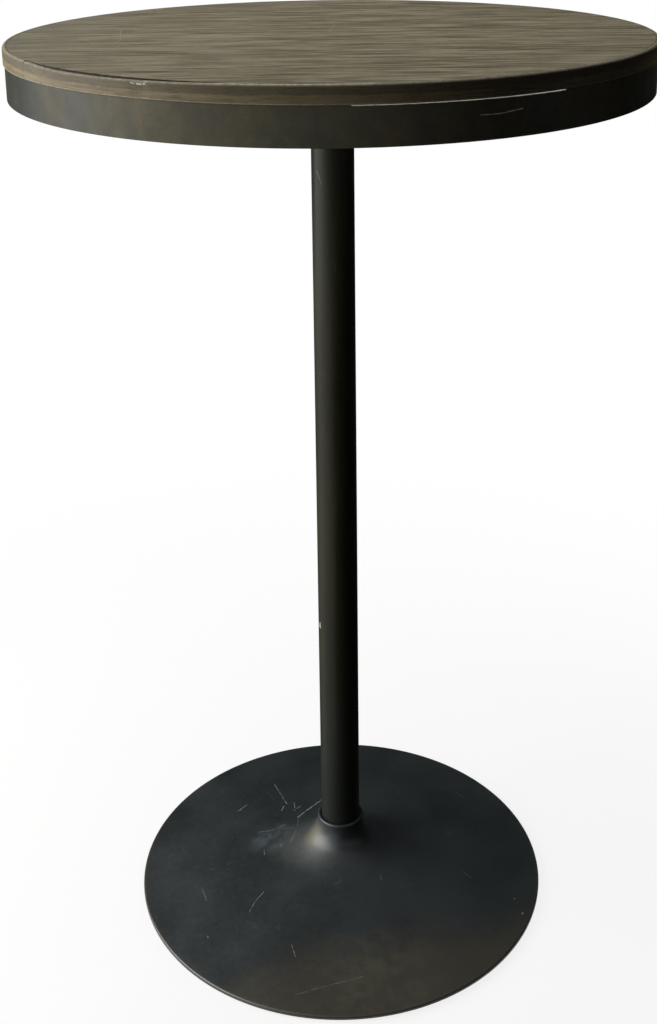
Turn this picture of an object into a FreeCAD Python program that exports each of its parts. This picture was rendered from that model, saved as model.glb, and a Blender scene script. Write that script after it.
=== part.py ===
# Round pub table: a veneered top with a steel apron, on a tubular column and a spun trumpet base.
# Millimetres, +Z up, the origin on the floor on the axis of the column. The base stands on four screw-in
# glides. A tie rod clamps the column between the boss of the base and the spider under the top.

import FreeCAD, Part
import math
import os

from FreeCAD import Vector

# Overall sizes
TABLE_HEIGHT = 1080.0
TOP_DIAMETER = 700.0
BASE_DIAMETER = 508.0
COLUMN_DIAMETER = 48.3

# Table top, a core board between two sheets, with a wood band bent round its edge
TOP_THICKNESS = 18.0
VENEER_THICKNESS = 0.8
BACKER_THICKNESS = 0.8
EDGE_BAND_THICKNESS = 4.0
EDGE_BAND_ROUNDING = 3.0
EDGE_BAND_CHAMFER = 0.5
EDGE_BAND_JOINT_GAP = 0.4
EDGE_BAND_JOINT_ANGLE = 212.0
VENEER_JOINT_GAP = 0.6

# Apron, a rolled steel band held by angle clips
APRON_HEIGHT = 38.0
APRON_THICKNESS = 2.0
APRON_SETBACK = 1.5
CLIP_COUNT = 8
CLIP_FIRST_ANGLE = 22.5
CLIP_WIDTH = 30.0
CLIP_LEG = 24.0
CLIP_THICKNESS = 2.5

# Spider, the cast cross that carries the top
SPIDER_ARMS = 4
SPIDER_REACH = 225.0
SPIDER_FLANGE = 5.0
SPIDER_ARM_ROOT_WIDTH = 44.0
SPIDER_ARM_TIP_WIDTH = 26.0
SPIDER_FOOT_RADIUS = 24.0
SPIDER_RIB_WIDTH = 7.0
SPIDER_RIB_TIP_DEPTH = 3.0
SPIDER_RIB_HOLLOW = 4.0
SPIDER_RIB_CLEAR_OF_FOOT = 8.0
SPIDER_HUB_WALL = 10.0
SPIDER_HUB_CHAMFER = 3.0
SPIDER_SOCKET_DEPTH = 14.0
SPIDER_WEB = 7.0
SPIDER_NUT_POCKET_RADIUS = 16.0
SPIDER_SCREW_SPACING = 26.0

# Wood screws with pan heads
SCREW_SHANK_RADIUS = 2.4
SCREW_HEAD_RADIUS = 5.0
SCREW_HEAD_RIM = 1.4
SCREW_HEAD_CROWN = 1.8
SCREW_BITE = 11.0
SCREW_POINT = 4.0
SCREW_RECESS_WIDTH = 1.2
SCREW_RECESS_SPAN = 5.0
SCREW_RECESS_DEPTH = 1.6

# Column, two tubes butted on an inner sleeve
COLUMN_WALL = 2.0
COLUMN_JOINT_HEIGHT = 691.0
COLUMN_END_CHAMFER = 0.4
COUPLING_LENGTH = 100.0
COUPLING_WALL = 4.0

# Tie rod, its nut and its washer
TIE_ROD_DIAMETER = 10.0
TIE_ROD_CHAMFER = 1.0
TIE_ROD_ABOVE_NUT = 3.0
TIE_ROD_HEADROOM = 3.0
NUT_ACROSS_FLATS = 17.0
NUT_HEIGHT = 8.0
NUT_FACE_DIAMETER = 16.2
NUT_CHAMFER_ANGLE = 30.0
WASHER_DIAMETER = 20.0
WASHER_THICKNESS = 2.0

# Trumpet cover of the base, spun from sheet: its outer face from the lip to the hem
COVER_WALL = 1.5
NECK_HEIGHT = 86.0
NECK_GAP = 0.4
LIP_ROUNDING = 2.25
LIP_TUCK = 1.2
NECK_STRAIGHT = 2.2
NECK_FLARE_RADIUS = 32.0
NECK_FLARE_END_SLOPE = 32.0
MID_FLARE_RADIUS = 120.0
SKIRT_TURN = 1.55
HEM_BEND_RADIUS = 2.1
HEM_HEIGHT = 4.2
RIM_CLEARANCE = 4.0
BUSH_HEIGHT = 12.0

# Weight of the base and the boss that the column stands on
BASE_PLATE_THICKNESS = 6.0
BASE_PLATE_BEVEL = 6.0
BALLAST_INSET = 28.5
BALLAST_THICKNESS = 8.0
BALLAST_CHAMFER = 2.0
BOSS_FLANGE_RADIUS = 58.0
BOSS_FLANGE_THICKNESS = 8.0
BOSS_FLANGE_CHAMFER = 1.5
BOSS_SPIGOT_HEIGHT = 30.0
BOSS_SPIGOT_CHAMFER = 2.0
BOSS_FLOOR = 4.0
BASE_BOLTS = 4
BASE_BOLT_FIRST_ANGLE = 45.0
BASE_BOLT_CIRCLE_RADIUS = 42.0
BASE_BOLT_RADIUS = 3.0
BASE_BOLT_HEAD_RADIUS = 5.6
BASE_BOLT_BITE = 6.0
BASE_BOLT_KEY_ACROSS_FLATS = 4.0
BASE_BOLT_KEY_DEPTH = 2.0

# Levelling glides, each a threaded stud with a hexagon collar and a head held in a pad
GLIDE_NAMES = ("back_right", "back_left", "front_left", "front_right")
GLIDE_FIRST_ANGLE = 45.0
GLIDE_INSET = 27.0
GLIDE_PAD_RADIUS = 17.0
GLIDE_PAD_THICKNESS = 4.0
GLIDE_PAD_SOLE = 1.2
GLIDE_PAD_ROOF = 1.2
GLIDE_PAD_CHAMFER = 0.8
GLIDE_HEAD_RADIUS = 10.0
GLIDE_NECK_RADIUS = 4.5
GLIDE_COLLAR_ACROSS_FLATS = 13.0
GLIDE_COLLAR_HEIGHT = 2.7
GLIDE_STUD_RADIUS = 4.0
GLIDE_STUD_ABOVE_PLATE = 2.0
GLIDE_STUD_CHAMFER = 0.6

# Clearances
FIT_CLEARANCE = 0.15
THREAD_CLEARANCE = 0.05
BOLT_HOLE_CLEARANCE = 0.35
BUSH_CLEARANCE = 0.1
GLIDE_CLEARANCE = 0.3
HOLE_BOTTOM_CLEARANCE = 0.5

# Levels and radii that follow from the sizes above
TOP_RADIUS = TOP_DIAMETER / 2
CORE_RADIUS = TOP_RADIUS - EDGE_BAND_THICKNESS
TOP_UNDERSIDE = TABLE_HEIGHT - TOP_THICKNESS
CORE_LOW = TOP_UNDERSIDE + BACKER_THICKNESS
CORE_HIGH = TABLE_HEIGHT - VENEER_THICKNESS
APRON_OUTER = TOP_RADIUS - APRON_SETBACK
APRON_INNER = APRON_OUTER - APRON_THICKNESS
CLIP_INNER = APRON_INNER - CLIP_LEG
CLIP_SCREW_RADIUS = (CLIP_INNER + APRON_INNER - CLIP_THICKNESS) / 2
CLIP_UNDERSIDE = TOP_UNDERSIDE - CLIP_THICKNESS

COLUMN_RADIUS = COLUMN_DIAMETER / 2
COLUMN_BORE = COLUMN_RADIUS - COLUMN_WALL
SPIGOT_RADIUS = COLUMN_BORE - FIT_CLEARANCE
ROD_RADIUS = TIE_ROD_DIAMETER / 2

ROD_HIGH = TOP_UNDERSIDE - TIE_ROD_HEADROOM
NUT_HIGH = ROD_HIGH - TIE_ROD_ABOVE_NUT
NUT_LOW = NUT_HIGH - NUT_HEIGHT
NUT_SEAT = NUT_LOW - WASHER_THICKNESS
COLUMN_TOP = NUT_SEAT - SPIDER_WEB
HUB_LOW = COLUMN_TOP - SPIDER_SOCKET_DEPTH
HUB_RADIUS = COLUMN_RADIUS + FIT_CLEARANCE + SPIDER_HUB_WALL
FLANGE_UNDERSIDE = TOP_UNDERSIDE - SPIDER_FLANGE

GLIDE_COLLAR_LOW = GLIDE_PAD_THICKNESS + GLIDE_CLEARANCE
GLIDE_COLLAR_HIGH = GLIDE_COLLAR_LOW + GLIDE_COLLAR_HEIGHT
PLATE_LOW = GLIDE_COLLAR_HIGH + GLIDE_CLEARANCE
PLATE_HIGH = PLATE_LOW + BASE_PLATE_THICKNESS
BALLAST_HIGH = PLATE_HIGH + BALLAST_THICKNESS
COLUMN_FOOT = BALLAST_HIGH + BOSS_FLANGE_THICKNESS
BOSS_TOP = COLUMN_FOOT + BOSS_SPIGOT_HEIGHT
ROD_LOW = BALLAST_HIGH + BOSS_FLOOR

BASE_RADIUS = BASE_DIAMETER / 2
NECK_RADIUS = COLUMN_RADIUS + NECK_GAP + 2 * LIP_ROUNDING
LIP_LOW = NECK_HEIGHT - LIP_ROUNDING - LIP_TUCK

AXIS = Vector(0, 0, 1)
ORIGIN = Vector(0, 0, 0)


# Shared shapes

def section_point(radius, height):
    """A point of a section that is turned about the column's axis."""
    return Vector(radius, 0, height)


def polar(radius, degrees):
    """A point on the floor at this radius and angle."""
    turn = math.radians(degrees)
    return Vector(radius * math.cos(turn), radius * math.sin(turn), 0)


def straight_edges(corners):
    """Edges from corner to corner of a section, left open."""
    return Part.makePolygon([section_point(radius, height) for radius, height in corners]).Edges


def outline(corners):
    """A closed face of a section with straight sides."""
    return Part.Face(Part.Wire(straight_edges(corners + corners[:1])))


def turned(face, degrees=360.0):
    """The solid that a section sweeps about the column's axis."""
    return face.revolve(ORIGIN, AXIS, degrees)


def disc(radius, low, high, centre=ORIGIN):
    return Part.makeCylinder(radius, high - low, centre + section_point(0, low))


def ring(inner, outer, low, high):
    return disc(outer, low, high).cut(disc(inner, low, high))


def arc(centre, radius, start_degrees, end_degrees):
    """An arc in the section plane, with angles measured from the outward direction towards +Z."""
    points = []
    for degrees in (start_degrees, (start_degrees + end_degrees) / 2, end_degrees):
        turn = math.radians(degrees)
        points.append(centre + Vector(radius * math.cos(turn), 0, radius * math.sin(turn)))
    return Part.Arc(*points).toShape()


def hexagon(across_flats, low, high):
    """A hexagonal prism on the column's axis."""
    corners = [polar(across_flats / math.sqrt(3), 60 * corner) + section_point(0, low) for corner in range(6)]
    return Part.Face(Part.makePolygon(corners + corners[:1])).extrude(section_point(0, high - low))


def moved(shape, place):
    copy = shape.copy()
    copy.translate(place)
    return copy


def around(shape, count, first_degrees=0.0):
    """Copies of a shape, evenly spaced about the column's axis."""
    copies = []
    for number in range(count):
        copy = shape.copy()
        copy.rotate(ORIGIN, AXIS, first_degrees + 360.0 * number / count)
        copies.append(copy)
    return copies


def circle_places(count, radius, first_degrees):
    return [polar(radius, first_degrees + 360.0 * number / count) for number in range(count)]


# Wood screws and the places they go to

def spider_screw_places():
    """Axes of the two screws in each foot of the spider, across the arm."""
    places = []
    for arm in range(SPIDER_ARMS):
        degrees = 360.0 * arm / SPIDER_ARMS
        foot = polar(SPIDER_REACH - SPIDER_FOOT_RADIUS, degrees)
        aside = polar(SPIDER_SCREW_SPACING / 2, degrees + 90)
        places += [foot - aside, foot + aside]
    return places


def clip_screw_places():
    return circle_places(CLIP_COUNT, CLIP_SCREW_RADIUS, CLIP_FIRST_ANGLE)


def screw_holes(places, clearance, low, high):
    return [disc(SCREW_SHANK_RADIUS + clearance, low, high, place) for place in places]


def pilot_holes():
    """Holes in the top for the points of all the wood screws."""
    return screw_holes(spider_screw_places() + clip_screw_places(), THREAD_CLEARANCE, TOP_UNDERSIDE,
                       TOP_UNDERSIDE + SCREW_BITE + HOLE_BOTTOM_CLEARANCE)


def wood_screws(places, seat):
    """Pan-head screws driven upwards into the top, their heads bearing on the level seat."""
    tip = TOP_UNDERSIDE + SCREW_BITE
    rim_low = seat - SCREW_HEAD_RIM
    crown = rim_low - SCREW_HEAD_CROWN
    dome_radius = (SCREW_HEAD_RADIUS ** 2 + SCREW_HEAD_CROWN ** 2) / (2 * SCREW_HEAD_CROWN)
    dome_edge = math.degrees(math.asin(SCREW_HEAD_RADIUS / dome_radius))
    dome = arc(section_point(0, crown + dome_radius), dome_radius, -90, -90 + dome_edge)
    sides = straight_edges([(SCREW_HEAD_RADIUS, rim_low), (SCREW_HEAD_RADIUS, seat), (SCREW_SHANK_RADIUS, seat),
                            (SCREW_SHANK_RADIUS, tip - SCREW_POINT), (0, tip), (0, crown)])
    screw = turned(Part.Face(Part.Wire([dome] + sides)))
    for length, width in ((SCREW_RECESS_SPAN, SCREW_RECESS_WIDTH), (SCREW_RECESS_WIDTH, SCREW_RECESS_SPAN)):
        corner = Vector(-length / 2, -width / 2, crown - SCREW_RECESS_DEPTH)
        screw = screw.cut(Part.makeBox(length, width, 2 * SCREW_RECESS_DEPTH, corner))
    return Part.makeCompound([moved(screw, place) for place in places])


# Table top

def top_veneer():
    """The face sheet, a hairline short of the edge band."""
    return disc(CORE_RADIUS - VENEER_JOINT_GAP, CORE_HIGH, TABLE_HEIGHT)


def top_core():
    return disc(CORE_RADIUS, CORE_LOW, CORE_HIGH).cut(pilot_holes())


def backer_sheet():
    return disc(CORE_RADIUS, TOP_UNDERSIDE, CORE_LOW).cut(pilot_holes())


def edge_band():
    """One strip bent round the core, rounded over at the top, its ends a hairline apart."""
    shoulder = TOP_RADIUS - EDGE_BAND_ROUNDING
    shoulder_height = TABLE_HEIGHT - EDGE_BAND_ROUNDING
    rounding = arc(section_point(shoulder, shoulder_height), EDGE_BAND_ROUNDING, 0, 90)
    sides = straight_edges([(shoulder, TABLE_HEIGHT), (CORE_RADIUS, TABLE_HEIGHT), (CORE_RADIUS, TOP_UNDERSIDE),
                            (TOP_RADIUS - EDGE_BAND_CHAMFER, TOP_UNDERSIDE),
                            (TOP_RADIUS, TOP_UNDERSIDE + EDGE_BAND_CHAMFER), (TOP_RADIUS, shoulder_height)])
    gap_degrees = math.degrees(EDGE_BAND_JOINT_GAP / TOP_RADIUS)
    strip = turned(Part.Face(Part.Wire([rounding] + sides)), 360.0 - gap_degrees)
    strip.rotate(ORIGIN, AXIS, EDGE_BAND_JOINT_ANGLE + gap_degrees / 2)
    return strip


# Apron

def apron_band():
    return ring(APRON_INNER, APRON_OUTER, TOP_UNDERSIDE - APRON_HEIGHT, TOP_UNDERSIDE)


def apron_clips():
    """Angle clips, one leg on the inside of the apron and one under the top."""
    leg_inner = APRON_INNER - CLIP_THICKNESS
    leg_low = TOP_UNDERSIDE - CLIP_LEG
    section = outline([(CLIP_INNER, TOP_UNDERSIDE), (APRON_INNER, TOP_UNDERSIDE), (APRON_INNER, leg_low),
                       (leg_inner, leg_low), (leg_inner, CLIP_UNDERSIDE), (CLIP_INNER, CLIP_UNDERSIDE)])
    width_degrees = math.degrees(CLIP_WIDTH / APRON_INNER)
    clips = around(turned(section, width_degrees), CLIP_COUNT, CLIP_FIRST_ANGLE - width_degrees / 2)
    holes = screw_holes(clip_screw_places(), BOLT_HOLE_CLEARANCE, CLIP_UNDERSIDE, TOP_UNDERSIDE)
    return Part.makeCompound([clip.cut(hole) for clip, hole in zip(clips, holes)])


def clip_screws():
    return wood_screws(clip_screw_places(), CLIP_UNDERSIDE)


# Spider

def spider_arm():
    """One arm along +X: a tapered flange with a round foot, and a hollow-backed rib that deepens to the hub."""
    foot_centre = SPIDER_REACH - SPIDER_FOOT_RADIUS
    root = SPIDER_ARM_ROOT_WIDTH / 2
    tip = SPIDER_ARM_TIP_WIDTH / 2
    corners = [Vector(0, -root, 0), Vector(foot_centre, -tip, 0), Vector(foot_centre, tip, 0), Vector(0, root, 0)]
    flange = moved(Part.Face(Part.makePolygon(corners + corners[:1])), section_point(0, FLANGE_UNDERSIDE))
    flange = flange.extrude(section_point(0, SPIDER_FLANGE))
    foot = disc(SPIDER_FOOT_RADIUS, FLANGE_UNDERSIDE, TOP_UNDERSIDE, section_point(foot_centre, 0))

    rib_root = section_point(HUB_RADIUS, HUB_LOW + SPIDER_HUB_CHAMFER)
    rib_tip = section_point(foot_centre - SPIDER_FOOT_RADIUS - SPIDER_RIB_CLEAR_OF_FOOT,
                            FLANGE_UNDERSIDE - SPIDER_RIB_TIP_DEPTH)
    rib_middle = (rib_root + rib_tip) / 2 + section_point(0, SPIDER_RIB_HOLLOW)
    lower_edge = Part.Arc(rib_root, rib_middle, rib_tip).toShape()
    sides = straight_edges([(rib_tip.x, rib_tip.z), (rib_tip.x, TOP_UNDERSIDE), (0, TOP_UNDERSIDE),
                            (0, rib_root.z), (rib_root.x, rib_root.z)])
    rib = moved(Part.Face(Part.Wire([lower_edge] + sides)), Vector(0, -SPIDER_RIB_WIDTH / 2, 0))
    return flange.fuse([foot, rib.extrude(Vector(0, SPIDER_RIB_WIDTH, 0))])


def spider():
    """Four ribbed arms on a hub with a socket for the column below and a pocket for the nut above."""
    hub = turned(outline([(0, HUB_LOW), (HUB_RADIUS - SPIDER_HUB_CHAMFER, HUB_LOW),
                          (HUB_RADIUS, HUB_LOW + SPIDER_HUB_CHAMFER), (HUB_RADIUS, TOP_UNDERSIDE),
                          (0, TOP_UNDERSIDE)]))
    casting = hub.fuse(around(spider_arm(), SPIDER_ARMS)).removeSplitter()
    hollows = [disc(COLUMN_RADIUS + FIT_CLEARANCE, HUB_LOW, COLUMN_TOP),
               disc(ROD_RADIUS + BOLT_HOLE_CLEARANCE, COLUMN_TOP, NUT_SEAT),
               disc(SPIDER_NUT_POCKET_RADIUS, NUT_SEAT, TOP_UNDERSIDE)]
    holes = screw_holes(spider_screw_places(), BOLT_HOLE_CLEARANCE, FLANGE_UNDERSIDE, TOP_UNDERSIDE)
    return casting.cut(hollows + holes)


def spider_screws():
    return wood_screws(spider_screw_places(), FLANGE_UNDERSIDE)


# Column and tie rod

def upper_tube():
    """The upper length of the column, lightly chamfered where it meets the lower one."""
    return turned(outline([(COLUMN_BORE, COLUMN_JOINT_HEIGHT),
                           (COLUMN_RADIUS - COLUMN_END_CHAMFER, COLUMN_JOINT_HEIGHT),
                           (COLUMN_RADIUS, COLUMN_JOINT_HEIGHT + COLUMN_END_CHAMFER),
                           (COLUMN_RADIUS, COLUMN_TOP), (COLUMN_BORE, COLUMN_TOP)]))


def lower_tube():
    """The lower length of the column, standing on the flange of the boss."""
    return turned(outline([(COLUMN_BORE, COLUMN_FOOT), (COLUMN_RADIUS, COLUMN_FOOT),
                           (COLUMN_RADIUS, COLUMN_JOINT_HEIGHT - COLUMN_END_CHAMFER),
                           (COLUMN_RADIUS - COLUMN_END_CHAMFER, COLUMN_JOINT_HEIGHT),
                           (COLUMN_BORE, COLUMN_JOINT_HEIGHT)]))


def tube_coupling():
    """The sleeve that keeps the tubes in line, tight in the lower one and sliding in the upper one."""
    inner = SPIGOT_RADIUS - COUPLING_WALL
    low = COLUMN_JOINT_HEIGHT - COUPLING_LENGTH / 2
    high = COLUMN_JOINT_HEIGHT + COUPLING_LENGTH / 2
    return turned(outline([(inner, low), (COLUMN_BORE, low), (COLUMN_BORE, COLUMN_JOINT_HEIGHT),
                           (SPIGOT_RADIUS, COLUMN_JOINT_HEIGHT), (SPIGOT_RADIUS, high), (inner, high)]))


def tie_rod():
    end = ROD_RADIUS - TIE_ROD_CHAMFER
    return turned(outline([(0, ROD_LOW), (end, ROD_LOW), (ROD_RADIUS, ROD_LOW + TIE_ROD_CHAMFER),
                           (ROD_RADIUS, ROD_HIGH - TIE_ROD_CHAMFER), (end, ROD_HIGH), (0, ROD_HIGH)]))


def rod_washer():
    return ring(ROD_RADIUS + BOLT_HOLE_CLEARANCE, WASHER_DIAMETER / 2, NUT_SEAT, NUT_LOW)


def rod_nut():
    """A hexagon nut with its corners turned off at both faces."""
    corner = NUT_ACROSS_FLATS / math.sqrt(3)
    face = NUT_FACE_DIAMETER / 2
    drop = (corner - face) * math.tan(math.radians(NUT_CHAMFER_ANGLE))
    envelope = turned(outline([(0, NUT_LOW), (face, NUT_LOW), (corner, NUT_LOW + drop),
                               (corner, NUT_HIGH - drop), (face, NUT_HIGH), (0, NUT_HIGH)]))
    bore = disc(ROD_RADIUS + THREAD_CLEARANCE, NUT_LOW, NUT_HIGH)
    return hexagon(NUT_ACROSS_FLATS, NUT_LOW, NUT_HIGH).common(envelope).cut(bore)


# Trumpet cover

def slope_normal(degrees):
    """The upward normal of the cover where it falls away from the column at this slope."""
    turn = math.radians(degrees)
    return Vector(math.sin(turn), 0, math.cos(turn))


LIP_CENTRE = section_point(NECK_RADIUS - LIP_ROUNDING, NECK_HEIGHT - LIP_ROUNDING)
FLARE_CENTRE = section_point(NECK_RADIUS + NECK_FLARE_RADIUS, LIP_CENTRE.z - NECK_STRAIGHT)
MID_CENTRE = FLARE_CENTRE + slope_normal(NECK_FLARE_END_SLOPE) * (MID_FLARE_RADIUS - NECK_FLARE_RADIUS)
HEM_CENTRE = section_point(BASE_RADIUS - HEM_BEND_RADIUS, RIM_CLEARANCE + HEM_HEIGHT - HEM_BEND_RADIUS)

# The skirt is one shallow arc, tangent to the flare where it starts and to the bend of the hem where it ends.
# It starts at the slope from which its own turn just reaches that bend.
HEM_OFFSET = HEM_CENTRE - MID_CENTRE
HEM_DROP = math.atan2(-HEM_OFFSET.z, HEM_OFFSET.x)
SKIRT_HALF_TURN = math.radians(SKIRT_TURN / 2)
SKIRT_REACH = (MID_FLARE_RADIUS + HEM_BEND_RADIUS) * math.cos(SKIRT_HALF_TURN) / HEM_OFFSET.Length
SKIRT_START_SLOPE = math.degrees(HEM_DROP + SKIRT_HALF_TURN - math.asin(SKIRT_REACH))
SKIRT_END_SLOPE = SKIRT_START_SLOPE - SKIRT_TURN
SKIRT_START = MID_CENTRE - slope_normal(SKIRT_START_SLOPE) * MID_FLARE_RADIUS
SKIRT_CHORD = HEM_CENTRE - (SKIRT_START - slope_normal(SKIRT_START_SLOPE) * HEM_BEND_RADIUS)
SKIRT_RADIUS = SKIRT_CHORD.Length / (2 * math.sin(SKIRT_HALF_TURN)) - HEM_BEND_RADIUS
SKIRT_CENTRE = SKIRT_START + slope_normal(SKIRT_START_SLOPE) * SKIRT_RADIUS


def cover_lip(depth):
    """Edges of the curled lip and the neck, at a depth below the cover's outer face."""
    radius = LIP_ROUNDING - depth
    inner = LIP_CENTRE - section_point(radius, 0)
    outer = LIP_CENTRE + section_point(radius, 0)
    neck_end = FLARE_CENTRE - section_point(NECK_FLARE_RADIUS + depth, 0)
    return [Part.LineSegment(section_point(inner.x, LIP_LOW), inner).toShape(),
            arc(LIP_CENTRE, radius, 180, 0),
            Part.LineSegment(outer, neck_end).toShape()]


def cover_flare(depth):
    """Edges from the neck to the lower edge of the hem, at a depth below the cover's outer face."""
    neck_end = 270 - NECK_FLARE_END_SLOPE
    mid_end = 270 - SKIRT_START_SLOPE
    hem = BASE_RADIUS - depth
    hem_side = Part.LineSegment(section_point(hem, HEM_CENTRE.z), section_point(hem, RIM_CLEARANCE))
    return [arc(FLARE_CENTRE, NECK_FLARE_RADIUS + depth, 180, neck_end),
            arc(MID_CENTRE, MID_FLARE_RADIUS + depth, neck_end, mid_end),
            arc(SKIRT_CENTRE, SKIRT_RADIUS + depth, mid_end, 270 - SKIRT_END_SLOPE),
            arc(HEM_CENTRE, HEM_BEND_RADIUS - depth, 90 - SKIRT_END_SLOPE, 0),
            hem_side.toShape()]


def closed_section(edges):
    return Part.Face(Part.Wire(Part.__sortEdges__(edges)))


def base_cover():
    """The spun trumpet: a curled lip at the neck, a flare, a shallow skirt and a turned-down hem."""
    outer = cover_lip(0) + cover_flare(0)
    inner = cover_lip(COVER_WALL) + cover_flare(COVER_WALL)
    lip_inner = LIP_CENTRE.x - LIP_ROUNDING
    lip_edge = straight_edges([(lip_inner, LIP_LOW), (lip_inner + COVER_WALL, LIP_LOW)])
    hem_edge = straight_edges([(BASE_RADIUS, RIM_CLEARANCE), (BASE_RADIUS - COVER_WALL, RIM_CLEARANCE)])
    return turned(closed_section(outer + hem_edge + inner + lip_edge))


def cover_hollow():
    """The room under the cover, from the hem to the neck."""
    neck = NECK_RADIUS - COVER_WALL
    rest = straight_edges([(BASE_RADIUS - COVER_WALL, RIM_CLEARANCE), (0, RIM_CLEARANCE), (0, FLARE_CENTRE.z),
                           (neck, FLARE_CENTRE.z)])
    return turned(closed_section(cover_flare(COVER_WALL) + rest))


def skirt_inner_radius(height):
    """The radius at which the inner face of the skirt has this height."""
    radius = SKIRT_RADIUS + COVER_WALL
    return SKIRT_CENTRE.x - math.sqrt(radius ** 2 - (SKIRT_CENTRE.z - height) ** 2)


def neck_bush():
    """The sleeve that centres the cover's neck on the column, under the curled lip."""
    return ring(COLUMN_RADIUS + BUSH_CLEARANCE, NECK_RADIUS - COVER_WALL - BUSH_CLEARANCE,
                LIP_LOW - BUSH_HEIGHT, LIP_LOW)


# Weight of the base

PLATE_SEAT_RADIUS = skirt_inner_radius(PLATE_HIGH)
BALLAST_RADIUS = skirt_inner_radius(BALLAST_HIGH) - BALLAST_INSET


def base_bolt_places():
    return circle_places(BASE_BOLTS, BASE_BOLT_CIRCLE_RADIUS, BASE_BOLT_FIRST_ANGLE)


def glide_places():
    return circle_places(len(GLIDE_NAMES), PLATE_SEAT_RADIUS - GLIDE_INSET, GLIDE_FIRST_ANGLE)


def countersunk(clearance, tip):
    """A countersunk bolt on the column's axis, its head flush with the underside of the base plate.

    The clearance is on the shank alone, so that the head bears on its countersink.
    """
    shank = BASE_BOLT_RADIUS + clearance
    cone_high = PLATE_LOW + BASE_BOLT_HEAD_RADIUS - shank
    return turned(outline([(0, PLATE_LOW), (BASE_BOLT_HEAD_RADIUS, PLATE_LOW), (shank, cone_high), (shank, tip),
                           (0, tip)]))


def base_plate():
    """A steel disc whose bevelled edge bears on the inside of the cover."""
    blank = disc(PLATE_SEAT_RADIUS + BASE_PLATE_BEVEL, PLATE_LOW, PLATE_HIGH).common(cover_hollow())
    sinks = [moved(countersunk(BOLT_HOLE_CLEARANCE, PLATE_HIGH), place) for place in base_bolt_places()]
    taps = [disc(GLIDE_STUD_RADIUS + THREAD_CLEARANCE, PLATE_LOW, PLATE_HIGH, place) for place in glide_places()]
    return blank.cut(sinks + taps)


def ballast_disc():
    weight = turned(outline([(0, PLATE_HIGH), (BALLAST_RADIUS, PLATE_HIGH),
                             (BALLAST_RADIUS, BALLAST_HIGH - BALLAST_CHAMFER),
                             (BALLAST_RADIUS - BALLAST_CHAMFER, BALLAST_HIGH), (0, BALLAST_HIGH)]))
    hole = BASE_BOLT_RADIUS + BOLT_HOLE_CLEARANCE
    return weight.cut([disc(hole, PLATE_HIGH, BALLAST_HIGH, place) for place in base_bolt_places()])


def column_boss():
    """A flanged spigot that the column stands on, tapped for the tie rod and the base bolts."""
    boss = turned(outline([(0, BALLAST_HIGH), (BOSS_FLANGE_RADIUS, BALLAST_HIGH),
                           (BOSS_FLANGE_RADIUS, COLUMN_FOOT - BOSS_FLANGE_CHAMFER),
                           (BOSS_FLANGE_RADIUS - BOSS_FLANGE_CHAMFER, COLUMN_FOOT),
                           (SPIGOT_RADIUS, COLUMN_FOOT), (SPIGOT_RADIUS, BOSS_TOP - BOSS_SPIGOT_CHAMFER),
                           (SPIGOT_RADIUS - BOSS_SPIGOT_CHAMFER, BOSS_TOP), (0, BOSS_TOP)]))
    tap = BASE_BOLT_RADIUS + THREAD_CLEARANCE
    bolt_end = BALLAST_HIGH + BASE_BOLT_BITE + HOLE_BOTTOM_CLEARANCE
    taps = [disc(tap, BALLAST_HIGH, bolt_end, place) for place in base_bolt_places()]
    return boss.cut(taps + [disc(ROD_RADIUS + THREAD_CLEARANCE, ROD_LOW, BOSS_TOP)])


def base_bolts():
    """Countersunk bolts with hexagon sockets, from below through the plate and the ballast into the boss."""
    bolt = countersunk(0, BALLAST_HIGH + BASE_BOLT_BITE)
    socket = hexagon(BASE_BOLT_KEY_ACROSS_FLATS, PLATE_LOW, PLATE_LOW + BASE_BOLT_KEY_DEPTH)
    return Part.makeCompound([moved(bolt.cut(socket), place) for place in base_bolt_places()])


# Levelling glides

def glide_pad():
    """A pad with a hollow that holds the head of the stud, open at the top for its neck."""
    hollow = GLIDE_HEAD_RADIUS + GLIDE_CLEARANCE
    mouth = GLIDE_NECK_RADIUS + GLIDE_CLEARANCE
    roof_low = GLIDE_PAD_THICKNESS - GLIDE_PAD_ROOF
    edge = GLIDE_PAD_RADIUS - GLIDE_PAD_CHAMFER
    return turned(outline([(0, 0), (edge, 0), (GLIDE_PAD_RADIUS, GLIDE_PAD_CHAMFER),
                           (GLIDE_PAD_RADIUS, GLIDE_PAD_THICKNESS - GLIDE_PAD_CHAMFER),
                           (edge, GLIDE_PAD_THICKNESS), (mouth, GLIDE_PAD_THICKNESS), (mouth, roof_low),
                           (hollow, roof_low), (hollow, GLIDE_PAD_SOLE), (0, GLIDE_PAD_SOLE)]))


def glide_stud():
    """A stud screwed into the base plate, with a collar for a spanner and a head that turns in the pad."""
    head_high = GLIDE_PAD_THICKNESS - GLIDE_PAD_ROOF - GLIDE_CLEARANCE
    top = PLATE_HIGH + GLIDE_STUD_ABOVE_PLATE
    spindle = turned(outline([(0, GLIDE_PAD_SOLE), (GLIDE_HEAD_RADIUS, GLIDE_PAD_SOLE),
                              (GLIDE_HEAD_RADIUS, head_high), (GLIDE_NECK_RADIUS, head_high),
                              (GLIDE_NECK_RADIUS, GLIDE_COLLAR_HIGH), (GLIDE_STUD_RADIUS, GLIDE_COLLAR_HIGH),
                              (GLIDE_STUD_RADIUS, top - GLIDE_STUD_CHAMFER),
                              (GLIDE_STUD_RADIUS - GLIDE_STUD_CHAMFER, top), (0, top)]))
    collar = hexagon(GLIDE_COLLAR_ACROSS_FLATS, GLIDE_COLLAR_LOW, GLIDE_COLLAR_HIGH)
    return spindle.fuse(collar).removeSplitter()


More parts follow.
